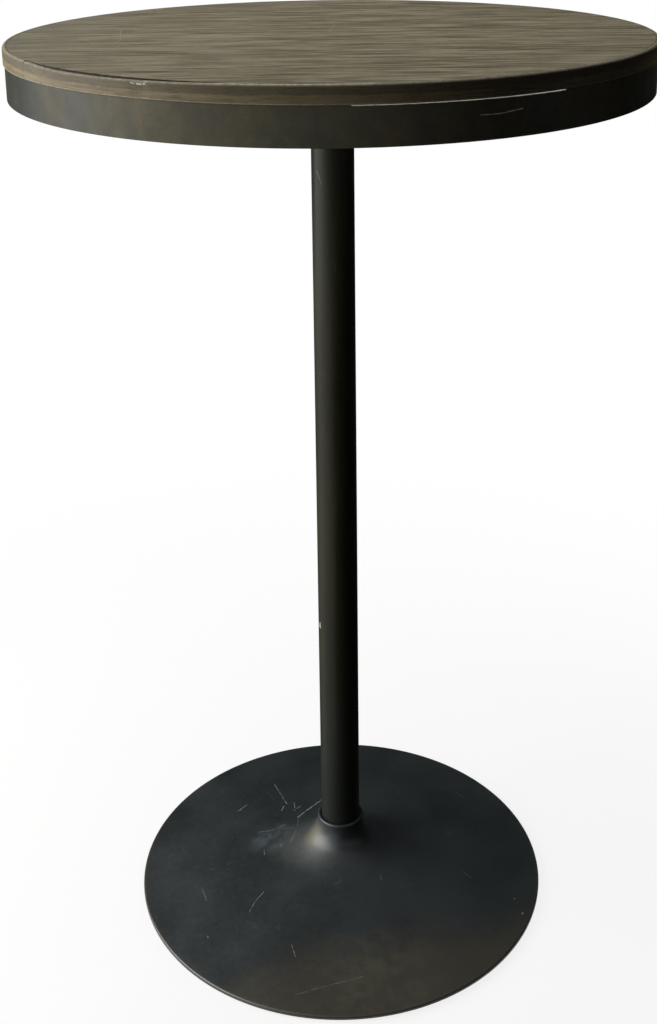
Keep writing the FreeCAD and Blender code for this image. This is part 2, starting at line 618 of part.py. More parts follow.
PIECES = [
    top_veneer, top_core, backer_sheet, edge_band,
    apron_band, apron_clips, clip_screws,
    spider, spider_screws,
    upper_tube, lower_tube, tube_coupling, tie_rod, rod_washer, rod_nut,
    base_cover, neck_bush, base_plate, ballast_disc, column_boss, base_bolts,
]

shapes = {piece.__name__: piece() for piece in PIECES}
for corner, place in zip(GLIDE_NAMES, glide_places()):
    shapes[f"glide_pad_{corner}"] = moved(glide_pad(), place)
    shapes[f"glide_stud_{corner}"] = moved(glide_stud(), place)

os.makedirs("parts", exist_ok=True)
for node, shape in shapes.items():
    if not shape.isValid():
        raise ValueError(f"{node} is not a valid shape")
    shape.exportStep(f"parts/{node}.step")
    print(f"{node}: {len(shape.Solids)} solids, {shape.Volume / 1000:.1f} cm3")
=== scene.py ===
# The looks of a round pub table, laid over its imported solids. Lengths are in metres, in the frame of the
# solids: +Z up, the floor at height 0, the column on the Z axis, and the side that the photograph shows
# towards -Y.

import math

import bmesh
import bpy
from mathutils import Matrix, Vector


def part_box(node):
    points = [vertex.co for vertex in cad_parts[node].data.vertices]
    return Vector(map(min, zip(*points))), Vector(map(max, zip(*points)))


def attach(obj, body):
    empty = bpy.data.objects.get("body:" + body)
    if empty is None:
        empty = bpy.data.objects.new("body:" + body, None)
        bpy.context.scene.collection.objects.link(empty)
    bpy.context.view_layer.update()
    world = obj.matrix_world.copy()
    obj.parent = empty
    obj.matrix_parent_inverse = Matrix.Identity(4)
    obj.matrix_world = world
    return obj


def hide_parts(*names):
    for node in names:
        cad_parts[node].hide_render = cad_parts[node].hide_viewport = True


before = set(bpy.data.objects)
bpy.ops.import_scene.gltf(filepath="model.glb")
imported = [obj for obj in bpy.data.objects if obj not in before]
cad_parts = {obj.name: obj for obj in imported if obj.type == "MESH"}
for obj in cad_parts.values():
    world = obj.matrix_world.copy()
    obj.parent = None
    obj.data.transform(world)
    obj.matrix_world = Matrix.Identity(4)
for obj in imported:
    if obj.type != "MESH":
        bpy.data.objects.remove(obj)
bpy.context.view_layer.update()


# The weight of the base: a steel plate, a ballast disc and the boss that the column stands on.
# They are cut and turned from thick steel and left in mill finish under a film of oil.

def paint(code):
    """The linear colour of a screen colour written as #rrggbb."""
    shares = [int(code[place:place + 2], 16) / 255 for place in (1, 3, 5)]
    linear = [share / 12.92 if share <= 0.04045 else ((share + 0.055) / 1.055) ** 2.4 for share in shares]
    return linear + [1.0]


def node(tree, kind, inputs, **settings):
    """A new node with its settings made, and each input given a value or linked to a socket."""
    made = tree.nodes.new(kind)
    for name, value in settings.items():
        setattr(made, name, value)
    for socket, value in inputs.items():
        if isinstance(value, bpy.types.NodeSocket):
            tree.links.new(value, made.inputs[socket])
        else:
            made.inputs[socket].default_value = value
    return made


def calc(tree, operation, first, second=0.0, third=0.0):
    """One step of arithmetic on numbers that change over a surface."""
    return node(tree, "ShaderNodeMath", {0: first, 1: second, 2: third}, operation=operation).outputs[0]


def vector_calc(tree, operation, first, second=(0.0, 0.0, 0.0)):
    """One step of arithmetic on vectors."""
    made = node(tree, "ShaderNodeVectorMath", {0: first, 1: second}, operation=operation)
    return made.outputs["Value" if operation in ("DOT_PRODUCT", "LENGTH") else "Vector"]


def eased(tree, value, low, high):
    """0 up to low, 1 from high on, and a soft slope between them."""
    inputs = {"Value": value, "From Min": low, "From Max": high}
    return node(tree, "ShaderNodeMapRange", inputs, interpolation_type="SMOOTHSTEP").outputs[0]


def spread(tree, value, low, high):
    """A share from 0 to 1, laid out between two values."""
    return node(tree, "ShaderNodeMapRange", {"Value": value, "To Min": low, "To Max": high}).outputs[0]


def blended(tree, share, first, second):
    """A colour between two others."""
    return node(tree, "ShaderNodeMix", {0: share, 6: first, 7: second}, data_type="RGBA").outputs[2]


def effect(name, inputs, outputs):
    """An empty shader group with named inputs and outputs, and the sockets that its inputs come from."""
    group = bpy.data.node_groups.new(name, "ShaderNodeTree")
    for label, value in inputs.items():
        kind = "NodeSocketVector" if isinstance(value, tuple) else "NodeSocketFloat"
        group.interface.new_socket(label, in_out="INPUT", socket_type=kind).default_value = value
    for label in outputs:
        group.interface.new_socket(label, in_out="OUTPUT", socket_type="NodeSocketFloat")
    return group, group.nodes.new("NodeGroupInput").outputs


def placed(tree, group, inputs):
    """A shader group placed in a material with its own values."""
    return node(tree, "ShaderNodeGroup", inputs, node_tree=group).outputs


def new_finish(name, specular=0.5, metallic=0.0):
    """A material with its constant values set, its node tree, and the coordinates of its object."""
    material = bpy.data.materials.new(name)
    material.use_nodes = True
    tree = material.node_tree
    shader = tree.nodes["Principled BSDF"]
    shader.inputs["Specular IOR Level"].default_value = specular
    shader.inputs["Metallic"].default_value = metallic
    return material, tree, node(tree, "ShaderNodeTexCoord", {}).outputs


def surface(tree, color, roughness, height, depth, metallic=None):
    """Links what changes over the surface to the shader; a height of 1 stands proud by the depth."""
    shader = tree.nodes["Principled BSDF"]
    relief = node(tree, "ShaderNodeBump", {"Height": height, "Distance": depth, "Strength": 1.0})
    links = {"Base Color": color, "Roughness": roughness, "Normal": relief.outputs[0]}
    if metallic is not None:
        links["Metallic"] = metallic
    for socket, source in links.items():
        tree.links.new(source, shader.inputs[socket])


def dress(name, material):
    """The solid keeps its shape and gets a finish."""
    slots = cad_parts[name].data.materials
    slots.clear()
    slots.append(material)


mottling, entry = effect("mottling", {"Vector": (0.0, 0.0, 0.0), "Size": 0.05, "Spread": 0.15}, ["Mask"])
cloud = node(mottling, "ShaderNodeTexNoise", {
    "Vector": entry["Vector"],
    "Scale": calc(mottling, "DIVIDE", 1.0, entry["Size"]),
    "Detail": 5.0,
    "Roughness": 0.55,
})
cloud_low = calc(mottling, "SUBTRACT", 0.5, entry["Spread"])
cloud_high = calc(mottling, "ADD", 0.5, entry["Spread"])
node(mottling, "NodeGroupOutput", {"Mask": eased(mottling, cloud.outputs[0], cloud_low, cloud_high)})

hairlines, entry = effect("hairlines", {
    "Vector": (0.0, 0.0, 0.0),
    "Heading": 0.0,
    "Length": 0.05,
    "Width": 0.0005,
}, ["Mask"])
headed = node(hairlines, "ShaderNodeVectorRotate", {"Vector": entry["Vector"], "Angle": entry["Heading"]},
              rotation_type="Z_AXIS").outputs[0]
# A hairline is a thin slice of the noise, about a twentieth of a cell wide
strands = node(hairlines, "ShaderNodeCombineXYZ", {
    "X": calc(hairlines, "DIVIDE", 1.0, entry["Length"]),
    "Y": calc(hairlines, "DIVIDE", 0.05, entry["Width"]),
    "Z": calc(hairlines, "DIVIDE", 1.0, entry["Length"]),
}).outputs[0]
field = node(hairlines, "ShaderNodeTexNoise", {
    "Vector": vector_calc(hairlines, "MULTIPLY", headed, strands),
    "Scale": 1.0,
    "Detail": 0.0,
})
patches = node(hairlines, "ShaderNodeTexNoise", {
    "Vector": headed,
    "Scale": calc(hairlines, "DIVIDE", 0.9, entry["Length"]),
    "Detail": 2.0,
})
off_line = calc(hairlines, "ABSOLUTE", calc(hairlines, "SUBTRACT", field.outputs[0], 0.5))
on_line = eased(hairlines, off_line, 0.018, 0.0)
in_patch = eased(hairlines, patches.outputs[0], 0.58, 0.74)
node(hairlines, "NodeGroupOutput", {"Mask": calc(hairlines, "MULTIPLY", on_line, in_patch)})

mill_steel, tree, coords = new_finish("mill_steel", metallic=0.85)
scale_patches = placed(tree, mottling, {"Vector": coords["Object"], "Size": 0.035, "Spread": 0.2})["Mask"]
rust = placed(tree, mottling, {"Vector": coords["Object"], "Size": 0.012, "Spread": 0.1})["Mask"]
rubbed = placed(tree, hairlines, {"Vector": coords["Object"], "Heading": 0.5, "Length": 0.06})["Mask"]
steel = blended(tree, scale_patches, paint("#4a4b4c"), paint("#68696a"))
steel = blended(tree, calc(tree, "MULTIPLY", rust, 0.25), steel, paint("#5a4330"))
steel = blended(tree, rubbed, steel, paint("#8c8d8c"))
surface(tree, steel, spread(tree, scale_patches, 0.36, 0.56), rust, 0.0001)

for name in ("base_plate", "ballast_disc", "column_boss"):
    dress(name, mill_steel)


# Base bolts: four countersunk bolts that clamp plate, ballast and boss together from below.
# Zinc-plated steel, cold headed, with a hexagon socket for the key.

BOLT_HEAD_RADIUS = 0.0056
BOLT_HEAD_EDGE = 0.0002
BOLT_RADIUS = 0.003
BOLT_CHAMFER = 0.0005
BOLT_KEY_FLATS = 0.004
BOLT_KEY_DEPTH = 0.002
BOLT_KEY_TURN = 5.0
BOLT_CIRCLE = 0.042
BOLT_COUNT = 4
BOLT_FIRST = 45.0
SHARP_ANGLE = math.radians(35)


def turned(name, section, steps, first=0.0, sweep=360.0, shaped=None):
    """A mesh turned about the Z axis from a closed section of (radius, height) points.
    Its map holds metres round the turn, at the section's first radius, and metres along the section.
    shaped may move a point: it takes degrees, radius and height, and gives radius and height."""
    build = bmesh.new()
    full = sweep == 360.0
    lines = steps if full else steps + 1
    grid = []
    for line in range(lines):
        degrees = first + sweep * line / steps
        turn = math.radians(degrees)
        places = [shaped(degrees, *point) if shaped else point for point in section]
        grid.append([build.verts.new((r * math.cos(turn), r * math.sin(turn), z)) for r, z in places])
    lengths = [0.0]
    for (r, z), (next_r, next_z) in zip(section, section[1:] + section[:1]):
        lengths.append(lengths[-1] + math.hypot(next_r - r, next_z - z))
    arc = math.radians(sweep) * section[0][0] / steps
    chart = build.loops.layers.uv.new("metres")
    for line in range(steps):
        for place in range(len(section)):
            after = (place + 1) % len(section)
            following = grid[(line + 1) % lines]
            corners = [grid[line][place], following[place], following[after], grid[line][after]]
            face = build.faces.new(corners)
            marks = [(line, place), (line + 1, place), (line + 1, place + 1), (line, place + 1)]
            for loop, (u, v) in zip(face.loops, marks):
                loop[chart].uv = (u * arc, lengths[v])
    if not full:
        build.faces.new(grid[0])
        build.faces.new(grid[-1])
    bmesh.ops.remove_doubles(build, verts=build.verts, dist=1e-7)
    bmesh.ops.dissolve_degenerate(build, edges=build.edges, dist=1e-8)
    bmesh.ops.recalc_face_normals(build, faces=build.faces)
    return as_piece(name, build)


def edged(mesh):
    """Shades the mesh smooth, except at its edges."""
    mesh.shade_smooth()
    mesh.set_sharp_from_angle(angle=SHARP_ANGLE)


def as_piece(name, build):
    """An object at the origin from a finished bmesh."""
    mesh = bpy.data.meshes.new(name)
    build.to_mesh(mesh)
    build.free()
    edged(mesh)
    piece = bpy.data.objects.new(name, mesh)
    bpy.context.scene.collection.objects.link(piece)
    return piece


def settled(piece):
    """The piece with its modifiers worked into a plain mesh."""
    bpy.context.view_layer.update()
    evaluated = piece.evaluated_get(bpy.context.evaluated_depsgraph_get())
    mesh = bpy.data.meshes.new_from_object(evaluated)
    piece.modifiers.clear()
    piece.data = mesh
    return piece


def cut_by(piece, cutter):
    """The piece with the cutter's shape taken out of it."""
    cut = piece.modifiers.new("cut", "BOOLEAN")
    cut.operation = "DIFFERENCE"
    cut.solver = "EXACT"
    cut.object = cutter
    settled(piece)
    bpy.data.objects.remove(cutter)
    edged(piece.data)
    return piece


def set_round(piece, count, first_degrees, material):
    """Copies of the piece, evenly spaced round the column, as one plain mesh in one finish."""
    row = piece.modifiers.new("round", "NODES")
    row.node_group = round_the_column
    values = {"Count": count, "First Angle": math.radians(first_degrees), "Finish": material}
    for socket in round_the_column.interface.items_tree:
        if socket.in_out == "INPUT" and socket.name in values:
            row[socket.identifier] = values[socket.name]
    return settled(piece)


def stands_for(piece, *names):
    """The piece is shown in place of these solids of the table, which are hidden, and hangs from the table's
    body.
    """
    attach(piece, "table")
    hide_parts(*names)


round_the_column = bpy.data.node_groups.new("round_the_column", "GeometryNodeTree")
for label, kind in (("Geometry", "NodeSocketGeometry"), ("Count", "NodeSocketInt"),
                    ("First Angle", "NodeSocketFloat"), ("Finish", "NodeSocketMaterial")):
    round_the_column.interface.new_socket(label, in_out="INPUT", socket_type=kind)
round_the_column.interface.new_socket("Geometry", in_out="OUTPUT", socket_type="NodeSocketGeometry")
entry = round_the_column.nodes.new("NodeGroupInput").outputs
line = node(round_the_column, "GeometryNodeMeshLine", {"Count": entry["Count"], "Offset": (0.0, 0.0, 0.0)})
number = node(round_the_column, "GeometryNodeInputIndex", {})
step = calc(round_the_column, "DIVIDE", 2 * math.pi, entry["Count"])
turn = calc(round_the_column, "MULTIPLY_ADD", number.outputs[0], step, entry["First Angle"])
facing = node(round_the_column, "ShaderNodeCombineXYZ", {"Z": turn})
copies = node(round_the_column, "GeometryNodeInstanceOnPoints", {
    "Points": line.outputs["Mesh"],
    "Instance": entry["Geometry"],
    "Rotation": facing.outputs[0],
})
joined = node(round_the_column, "GeometryNodeRealizeInstances", {"Geometry": copies.outputs[0]})
coated = node(round_the_column, "GeometryNodeSetMaterial", {
    "Geometry": joined.outputs[0],
    "Material": entry["Finish"],
})
node(round_the_column, "NodeGroupOutput", {"Geometry": coated.outputs[0]})

zinc, tree, coords = new_finish("zinc_plating", metallic=1.0)
bloom = placed(tree, mottling, {"Vector": coords["Object"], "Size": 0.004, "Spread": 0.2})["Mask"]
tarnish = placed(tree, mottling, {"Vector": coords["Object"], "Size": 0.02, "Spread": 0.15})["Mask"]
plating = blended(tree, bloom, paint("#9b9b98"), paint("#b4b4b0"))
plating = blended(tree, calc(tree, "MULTIPLY", tarnish, 0.4), plating, paint("#8d8672"))
surface(tree, plating, spread(tree, bloom, 0.28, 0.42), bloom, 0.00003)

low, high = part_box("base_bolts")
head_top = low.z + BOLT_HEAD_RADIUS - BOLT_RADIUS
bolt_section = [
    (0.0, low.z),
    (BOLT_HEAD_RADIUS - BOLT_HEAD_EDGE, low.z),
    (BOLT_HEAD_RADIUS, low.z + BOLT_HEAD_EDGE),
    (BOLT_RADIUS, head_top),
    (BOLT_RADIUS, high.z - BOLT_CHAMFER),
    (BOLT_RADIUS - BOLT_CHAMFER, high.z),
    (0.0, high.z),
]
bolt = turned("base_bolts", bolt_section, steps=32)
socket_build = bmesh.new()
socket_corner = BOLT_KEY_FLATS / math.sqrt(3)
socket_place = Matrix.Translation((0.0, 0.0, low.z)) @ Matrix.Rotation(math.radians(BOLT_KEY_TURN), 4, "Z")
bmesh.ops.create_cone(socket_build, cap_ends=True, segments=6, radius1=socket_corner, radius2=socket_corner,
                      depth=2 * BOLT_KEY_DEPTH, matrix=socket_place)
cut_by(bolt, as_piece("key_socket", socket_build))
bolt.data.transform(Matrix.Translation((BOLT_CIRCLE, 0.0, 0.0)))
set_round(bolt, BOLT_COUNT, BOLT_FIRST, zinc)
stands_for(bolt, "base_bolts")


# Levelling glides: a nylon pad snapped on the round head of a screw, one in each corner of the base plate.
# The screws are zinc plated with a rolled thread; the pads are moulded with a fine matt grain.

nylon, tree, coords = new_finish("moulded_nylon", specular=0.4)
moulded = node(tree, "ShaderNodeTexNoise", {
    "Vector": coords["Object"],
    "Scale": 1400.0,
    "Detail": 2.0,
}).outputs[0]
scuffed = placed(tree, mottling, {"Vector": coords["Object"], "Size": 0.009, "Spread": 0.12})["Mask"]
plastic = blended(tree, scuffed, paint("#1a1a1b"), paint("#272726"))
surface(tree, plastic, spread(tree, scuffed, 0.5, 0.68), moulded, 0.00006)

for corner in ("back_right", "back_left", "front_left", "front_right"):
    dress(f"glide_pad_{corner}", nylon)
    dress(f"glide_stud_{corner}", zinc)


# Trumpet cover of the base: one sheet of steel, spun over a former, with a lip rolled in at the neck and a
# hem turned down at the rim. It is blackened to a dark blue grey, waxed, and scratched by shoes and chairs.
# A nylon bush in the neck centres it on the column.

COVER_WALL = 0.0015
COVER_LIP_RADIUS = 0.02455
COVER_LIP_LOW = 0.08255
COVER_LIP_TUCK = 0.0012
COVER_LIP_ROUNDING = 0.00225
COVER_NECK_STRAIGHT = 0.0022
COVER_NECK_FLARE = 0.032
COVER_MID_FLARE = 0.120
COVER_SKIRT = 6.2904
COVER_HEM_BEND = 0.0021
COVER_HEM_DROP = 0.0021
COVER_HEM_FROM = 0.0086
COVER_HEM_FULL = 0.0078
SCRATCH_LIGHT = paint("#9a9c98")
# The first three spots are painted light on the flare: a painted reflection, then the halo and the core of a
# painted highlight.
REFLECTION_SPOT = (-0.0890, 0.0140, 0.0380)
HIGHLIGHT_HALO_SPOT = (-0.0500, -0.0080, 0.0490)
HIGHLIGHT_CORE_SPOT = (-0.0335, -0.0140, 0.0615)
DUSTY_SPOT = (0.0450, -0.2150, 0.0125)


def spun(start, heading, moves, wall):
    """A closed section of sheet: its outer face follows the spinner's tool from the start, and the sheet's
    thickness lies on the right of the tool's path. A move is a length, and degrees turned to the left."""
    radius, height = start
    outer = []
    inner = []
    heading = math.radians(heading)
    for length, degrees, steps in moves:
        for step in range(steps + 1):
            if step or not outer:
                outer.append((radius, height))
                inner.append((radius + wall * math.sin(heading), height - wall * math.cos(heading)))
            if step < steps:
                bend = math.radians(degrees) / steps
                heading += bend / 2
                chord = length / steps
                radius += chord * math.cos(heading)
                height += chord * math.sin(heading)
                heading += bend / 2
    return outer + inner[::-1]


def bend(radius, degrees, steps):
    """A move round an arc; to the right where the degrees are negative."""
    return (radius * math.radians(abs(degrees)), degrees, steps)


cover_moves = [
    (COVER_LIP_TUCK, 0.0, 1),
    bend(COVER_LIP_ROUNDING, -180.0, 16),
    (COVER_NECK_STRAIGHT, 0.0, 1),
    bend(COVER_NECK_FLARE, 58.0, 20),
    bend(COVER_MID_FLARE, 20.998, 12),
    bend(COVER_SKIRT, 1.55, 20),
    bend(COVER_HEM_BEND, -80.548, 10),
    (COVER_HEM_DROP, 0.0, 1),
]
cover_section = spun((COVER_LIP_RADIUS, COVER_LIP_LOW), 90.0, cover_moves, COVER_WALL)
cover = turned("base_cover", cover_section, steps=192, first=90.0)

placed_stroke, entry = effect("placed_stroke", {
    "Vector": (0.0, 0.0, 0.0),
    "Start": (0.0, 0.0, 0.0),
    "End": (0.0, 0.0, 0.0),
    "Width": 0.001,
    "Waver": 0.0015,
    "Breaks": 0.8,
}, ["Mask"])
waver = node(placed_stroke, "ShaderNodeTexNoise", {"Vector": entry["Vector"], "Scale": 90.0, "Detail": 2.0})
waver = vector_calc(placed_stroke, "SUBTRACT", waver.outputs["Color"], (0.5, 0.5, 0.5))
waver = node(placed_stroke, "ShaderNodeVectorMath", {0: waver, "Scale": entry["Waver"]}, operation="SCALE")
flat = vector_calc(placed_stroke, "ADD", entry["Vector"], waver.outputs[0])
flat = vector_calc(placed_stroke, "MULTIPLY", flat, (1.0, 1.0, 0.0))
along = vector_calc(placed_stroke, "SUBTRACT", entry["End"], entry["Start"])
offset = vector_calc(placed_stroke, "SUBTRACT", flat, entry["Start"])
reach = calc(placed_stroke, "DIVIDE", vector_calc(placed_stroke, "DOT_PRODUCT", offset, along),
             vector_calc(placed_stroke, "DOT_PRODUCT", along, along))
reach = calc(placed_stroke, "MAXIMUM", calc(placed_stroke, "MINIMUM", reach, 1.0), 0.0)
nearest = vector_calc(placed_stroke, "MULTIPLY", along, reach)
gap = vector_calc(placed_stroke, "LENGTH", vector_calc(placed_stroke, "SUBTRACT", offset, nearest))
skips = node(placed_stroke, "ShaderNodeTexNoise", {"Vector": entry["Vector"], "Scale": 160.0, "Detail": 2.0})
lightest = calc(placed_stroke, "SUBTRACT", 1.0, entry["Breaks"])
pressed = spread(placed_stroke, eased(placed_stroke, skips.outputs[0], 0.36, 0.58), lightest, 1.0)
pressure = calc(placed_stroke, "MULTIPLY", entry["Width"], pressed)
node(placed_stroke, "NodeGroupOutput", {"Mask": eased(placed_stroke, gap, pressure, 0.0)})


def strokes(tree, vector, places, waver=0.0015, breaks=0.8):
    """The mask of several strokes; a place has its start, its end and its width, in metres.
    A stroke wavers by some metres to each side, and loses a share of its width where it breaks up."""
    mask = 0.0
    for start, end, width in places:
        inputs = {"Vector": vector, "Start": (*start, 0.0), "End": (*end, 0.0), "Width": width,
                  "Waver": waver, "Breaks": breaks}
        mask = calc(tree, "MAXIMUM", mask, placed(tree, placed_stroke, inputs)["Mask"])
    return mask


def near(tree, vector, place, outer, inner):
    """1 within the inner distance of a place, 0 beyond the outer one, and a soft slope between them."""
    offset = vector_calc(tree, "SUBTRACT", vector, place)
    return eased(tree, vector_calc(tree, "LENGTH", offset), outer, inner)


cover_scratches = [
    ((-0.0923, 0.1448), (-0.0722, 0.0863), 0.0009),
    ((-0.0252, 0.0892), (-0.0559, 0.0486), 0.0020),
    ((-0.0792, 0.0712), (-0.0760, 0.0815), 0.0012),
    ((-0.0622, 0.0668), (-0.0540, 0.0768), 0.0011),
    ((-0.0628, 0.0880), (-0.0608, 0.0735), 0.0009),
    ((-0.1273, 0.0964), (-0.1388, 0.0845), 0.0009),
    ((-0.1367, 0.0847), (-0.1332, 0.0904), 0.0009),
    ((-0.0962, -0.0791), (-0.1057, -0.0910), 0.0009),
    ((-0.1057, -0.0910), (-0.1128, -0.1072), 0.0009),
    ((-0.0600, -0.1594), (-0.0550, -0.1757), 0.0009),
    ((-0.0986, -0.0081), (-0.0981, -0.0194), 0.0011),
    ((-0.0773, -0.0040), (-0.0768, -0.0070), 0.0012),
    ((0.2236, -0.0961), (0.2222, -0.0985), 0.0016),
    ((0.2163, -0.0743), (0.2155, -0.0752), 0.0012),
    ((0.2018, -0.1338), (0.2010, -0.1350), 0.0011),
    ((-0.1620, -0.1354), (-0.1612, -0.1377), 0.0010),
]
cover_faint_lines = [
    ((-0.0540, -0.2241), (-0.0038, -0.2110), 0.0009),
    ((-0.0038, -0.2110), (0.0231, -0.2034), 0.0009),
    ((-0.0559, 0.0486), (-0.0565, 0.0204), 0.0008),
    ((-0.0565, 0.0204), (-0.0648, -0.0054), 0.0008),
    ((-0.1751, -0.0576), (-0.1676, -0.0802), 0.0010),
    ((-0.1055, 0.0289), (-0.0890, 0.0285), 0.0012),
    ((-0.0890, 0.0285), (-0.0734, 0.0366), 0.0012),
    ((0.0491, -0.0618), (0.0498, -0.0715), 0.0009),
    ((0.1595, 0.1309), (0.1694, 0.1175), 0.0009),
    ((0.1530, -0.0373), (0.1658, -0.0508), 0.0009),
]
cover_dark_lines = [
    ((-0.0201, -0.0401), (-0.0255, -0.0621), 0.0007),
    ((-0.0255, -0.0621), (-0.0231, -0.0843), 0.0007),
]
base_steel, tree, coords = new_finish("blackened_spun_steel", specular=0.6)
where = coords["Object"]
axes = node(tree, "ShaderNodeSeparateXYZ", {"Vector": where}).outputs
clouds = placed(tree, mottling, {"Vector": where, "Size": 0.09, "Spread": 0.2})["Mask"]
fine_clouds = placed(tree, mottling, {"Vector": where, "Size": 0.008, "Spread": 0.25})["Mask"]
wander = placed(tree, mottling, {"Vector": where, "Size": 0.12, "Spread": 0.3})["Mask"]
scuffs = placed(tree, hairlines, {"Vector": where, "Heading": 0.9, "Length": 0.05})["Mask"]
more_scuffs = placed(tree, hairlines, {"Vector": where, "Heading": -0.6, "Length": 0.035})["Mask"]
scratch = strokes(tree, where, cover_scratches)
faint = strokes(tree, where, cover_faint_lines)
dark_line = strokes(tree, where, cover_dark_lines)
ragged = placed(tree, mottling, {"Vector": where, "Size": 0.02, "Spread": 0.1})["Mask"]
# Painted reflection: a bluish patch on the lower flare, standing in for a second window mirrored there.
painted_sheen_and_rub = calc(tree, "MULTIPLY", near(tree, where, REFLECTION_SPOT, 0.038, 0.012), spread(tree, ragged, 0.15, 0.9))
# Painted highlight: a cool halo and a warm, paler core at the left of the neck.
painted_highlight_halo = calc(tree, "MULTIPLY", near(tree, where, HIGHLIGHT_HALO_SPOT, 0.055, 0.010), 0.7)
painted_highlight_core = calc(tree, "MULTIPLY", near(tree, where, HIGHLIGHT_CORE_SPOT, 0.024, 0.004), 0.6)
dust = calc(tree, "MULTIPLY", near(tree, where, DUSTY_SPOT, 0.100, 0.020), spread(tree, ragged, 0.15, 0.7))
# Painted reflection: the front of the base turns browner, standing in for a warm surround mirrored there.
towards_front = calc(tree, "MULTIPLY_ADD", axes["X"], -0.3, axes["Y"])
front = eased(tree, calc(tree, "MULTIPLY_ADD", wander, 0.05, towards_front), -0.11, -0.19)
hem = eased(tree, axes["Z"], COVER_HEM_FROM, COVER_HEM_FULL)
steel = blended(tree, clouds, paint("#222728"), paint("#2b3031"))
steel = blended(tree, calc(tree, "MULTIPLY", fine_clouds, 0.25), steel, paint("#222727"))
steel = blended(tree, calc(tree, "MULTIPLY", front, 0.85), steel, paint("#3d3a30"))
steel = blended(tree, dust, steel, paint("#4c4a3f"))
steel = blended(tree, painted_sheen_and_rub, steel, paint("#485052"))
steel = blended(tree, painted_highlight_halo, steel, paint("#4a4e4b"))
steel = blended(tree, painted_highlight_core, steel, paint("#78725f"))
steel = blended(tree, calc(tree, "MULTIPLY", hem, 0.6), steel, paint("#4a453b"))
light_marks = calc(tree, "MULTIPLY", calc(tree, "MAXIMUM", scuffs, more_scuffs), 0.10)
light_marks = calc(tree, "MAXIMUM", light_marks, calc(tree, "MULTIPLY", faint, 0.3))
light_marks = calc(tree, "MAXIMUM", light_marks, calc(tree, "MULTIPLY", scratch, 0.65))
steel = blended(tree, light_marks, steel, SCRATCH_LIGHT)
steel = blended(tree, dark_line, steel, paint("#0c0e0e"))
waxed = calc(tree, "MULTIPLY_ADD", clouds, 0.08, spread(tree, fine_clouds, 0.36, 0.44))
waxed = calc(tree, "MULTIPLY_ADD", hem, -0.10, waxed)
surface(tree, steel, waxed, fine_clouds, 0.00005)
cover.data.materials.append(base_steel)
stands_for(cover, "base_cover")
dress("neck_bush", nylon)


# Column: two lengths of welded tube, equally wide, butted on a hidden sleeve at a fine seam.
# Drawn steel, blackened and waxed to an olive black that is greyer at the foot, with a knock at the left and
# a scratch near the top. A rod inside it, with its nut and washer, clamps it between the boss and the spider.

TUBE_RADIUS = 0.02415
TUBE_WALL = 0.002
TUBE_CHAMFER = 0.0004
TUBE_SEAM = 0.691
TUBE_GREY_BELOW = 0.34
TUBE_GREYEST = 0.10


def tube(name):
    """One length of the column; its map starts at the foot of its outer face."""
    low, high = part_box(name)
    edge = TUBE_CHAMFER
    bore = TUBE_RADIUS - TUBE_WALL
    section = [(TUBE_RADIUS, low.z + edge), (TUBE_RADIUS, high.z - edge), (TUBE_RADIUS - edge, high.z),
               (bore, high.z), (bore, low.z), (TUBE_RADIUS - edge, low.z)]
    return turned(name, section, steps=96, first=90.0)


column_steel, tree, coords = new_finish("blackened_tube", specular=0.14)
where = coords["Object"]
axes = node(tree, "ShaderNodeSeparateXYZ", {"Vector": where}).outputs
drawn = node(tree, "ShaderNodeMapping", {"Vector": where, "Scale": (1.0, 1.0, 0.12)}).outputs[0]
clouds = placed(tree, mottling, {"Vector": drawn, "Size": 0.03, "Spread": 0.22})["Mask"]
die_lines = placed(tree, mottling, {"Vector": drawn, "Size": 0.0025, "Spread": 0.3})["Mask"]
rubbed = placed(tree, hairlines, {"Vector": where, "Heading": 0.7, "Length": 0.06})["Mask"]
side = node(tree, "ShaderNodeCombineXYZ", {"X": axes["X"], "Y": axes["Z"]}).outputs[0]
scratch = strokes(tree, side, [((-0.0180, 0.931), (-0.0126, 0.916), 0.0007)])
knock = strokes(tree, side, [((-0.0221, 0.3580), (-0.0219, 0.3645), 0.0017)], breaks=0.4)
knocks = calc(tree, "MAXIMUM", calc(tree, "MULTIPLY", scratch, 0.35), knock)
facing_front = eased(tree, axes["Y"], 0.0, -0.002)
knocks = calc(tree, "MULTIPLY", knocks, facing_front)
seam = eased(tree, calc(tree, "ABSOLUTE", calc(tree, "SUBTRACT", axes["Z"], TUBE_SEAM)), 0.0016, 0.0004)
steel = blended(tree, clouds, paint("#25251b"), paint("#323226"))
foot = eased(tree, axes["Z"], TUBE_GREY_BELOW, TUBE_GREYEST)
steel = blended(tree, calc(tree, "MULTIPLY", foot, 0.7), steel, paint("#242a28"))
steel = blended(tree, calc(tree, "MULTIPLY", die_lines, 0.2), steel, paint("#1a1914"))
steel = blended(tree, calc(tree, "MULTIPLY", rubbed, 0.15), steel, paint("#7b796c"))
steel = blended(tree, calc(tree, "MULTIPLY", seam, 0.6), steel, paint("#3d3122"))
steel = blended(tree, knocks, steel, paint("#b5b3a8"))
surface(tree, steel, spread(tree, clouds, 0.38, 0.48), calc(tree, "SUBTRACT", die_lines, knocks), 0.00003)
for name in ("lower_tube", "upper_tube"):
    length = tube(name)
    length.data.materials.append(column_steel)
    stands_for(length, name)
dress("tube_coupling", mill_steel)

for name in ("tie_rod", "rod_washer", "rod_nut"):
    dress(name, zinc)


# Spider: the cast cross that carries the top, four ribbed arms on a hub that fits over the column.
# Sand-cast iron in black paint, with soft corners and the sand's grain showing through.

SPIDER_VOXEL = 0.0015
SPIDER_SOFTENING = 5

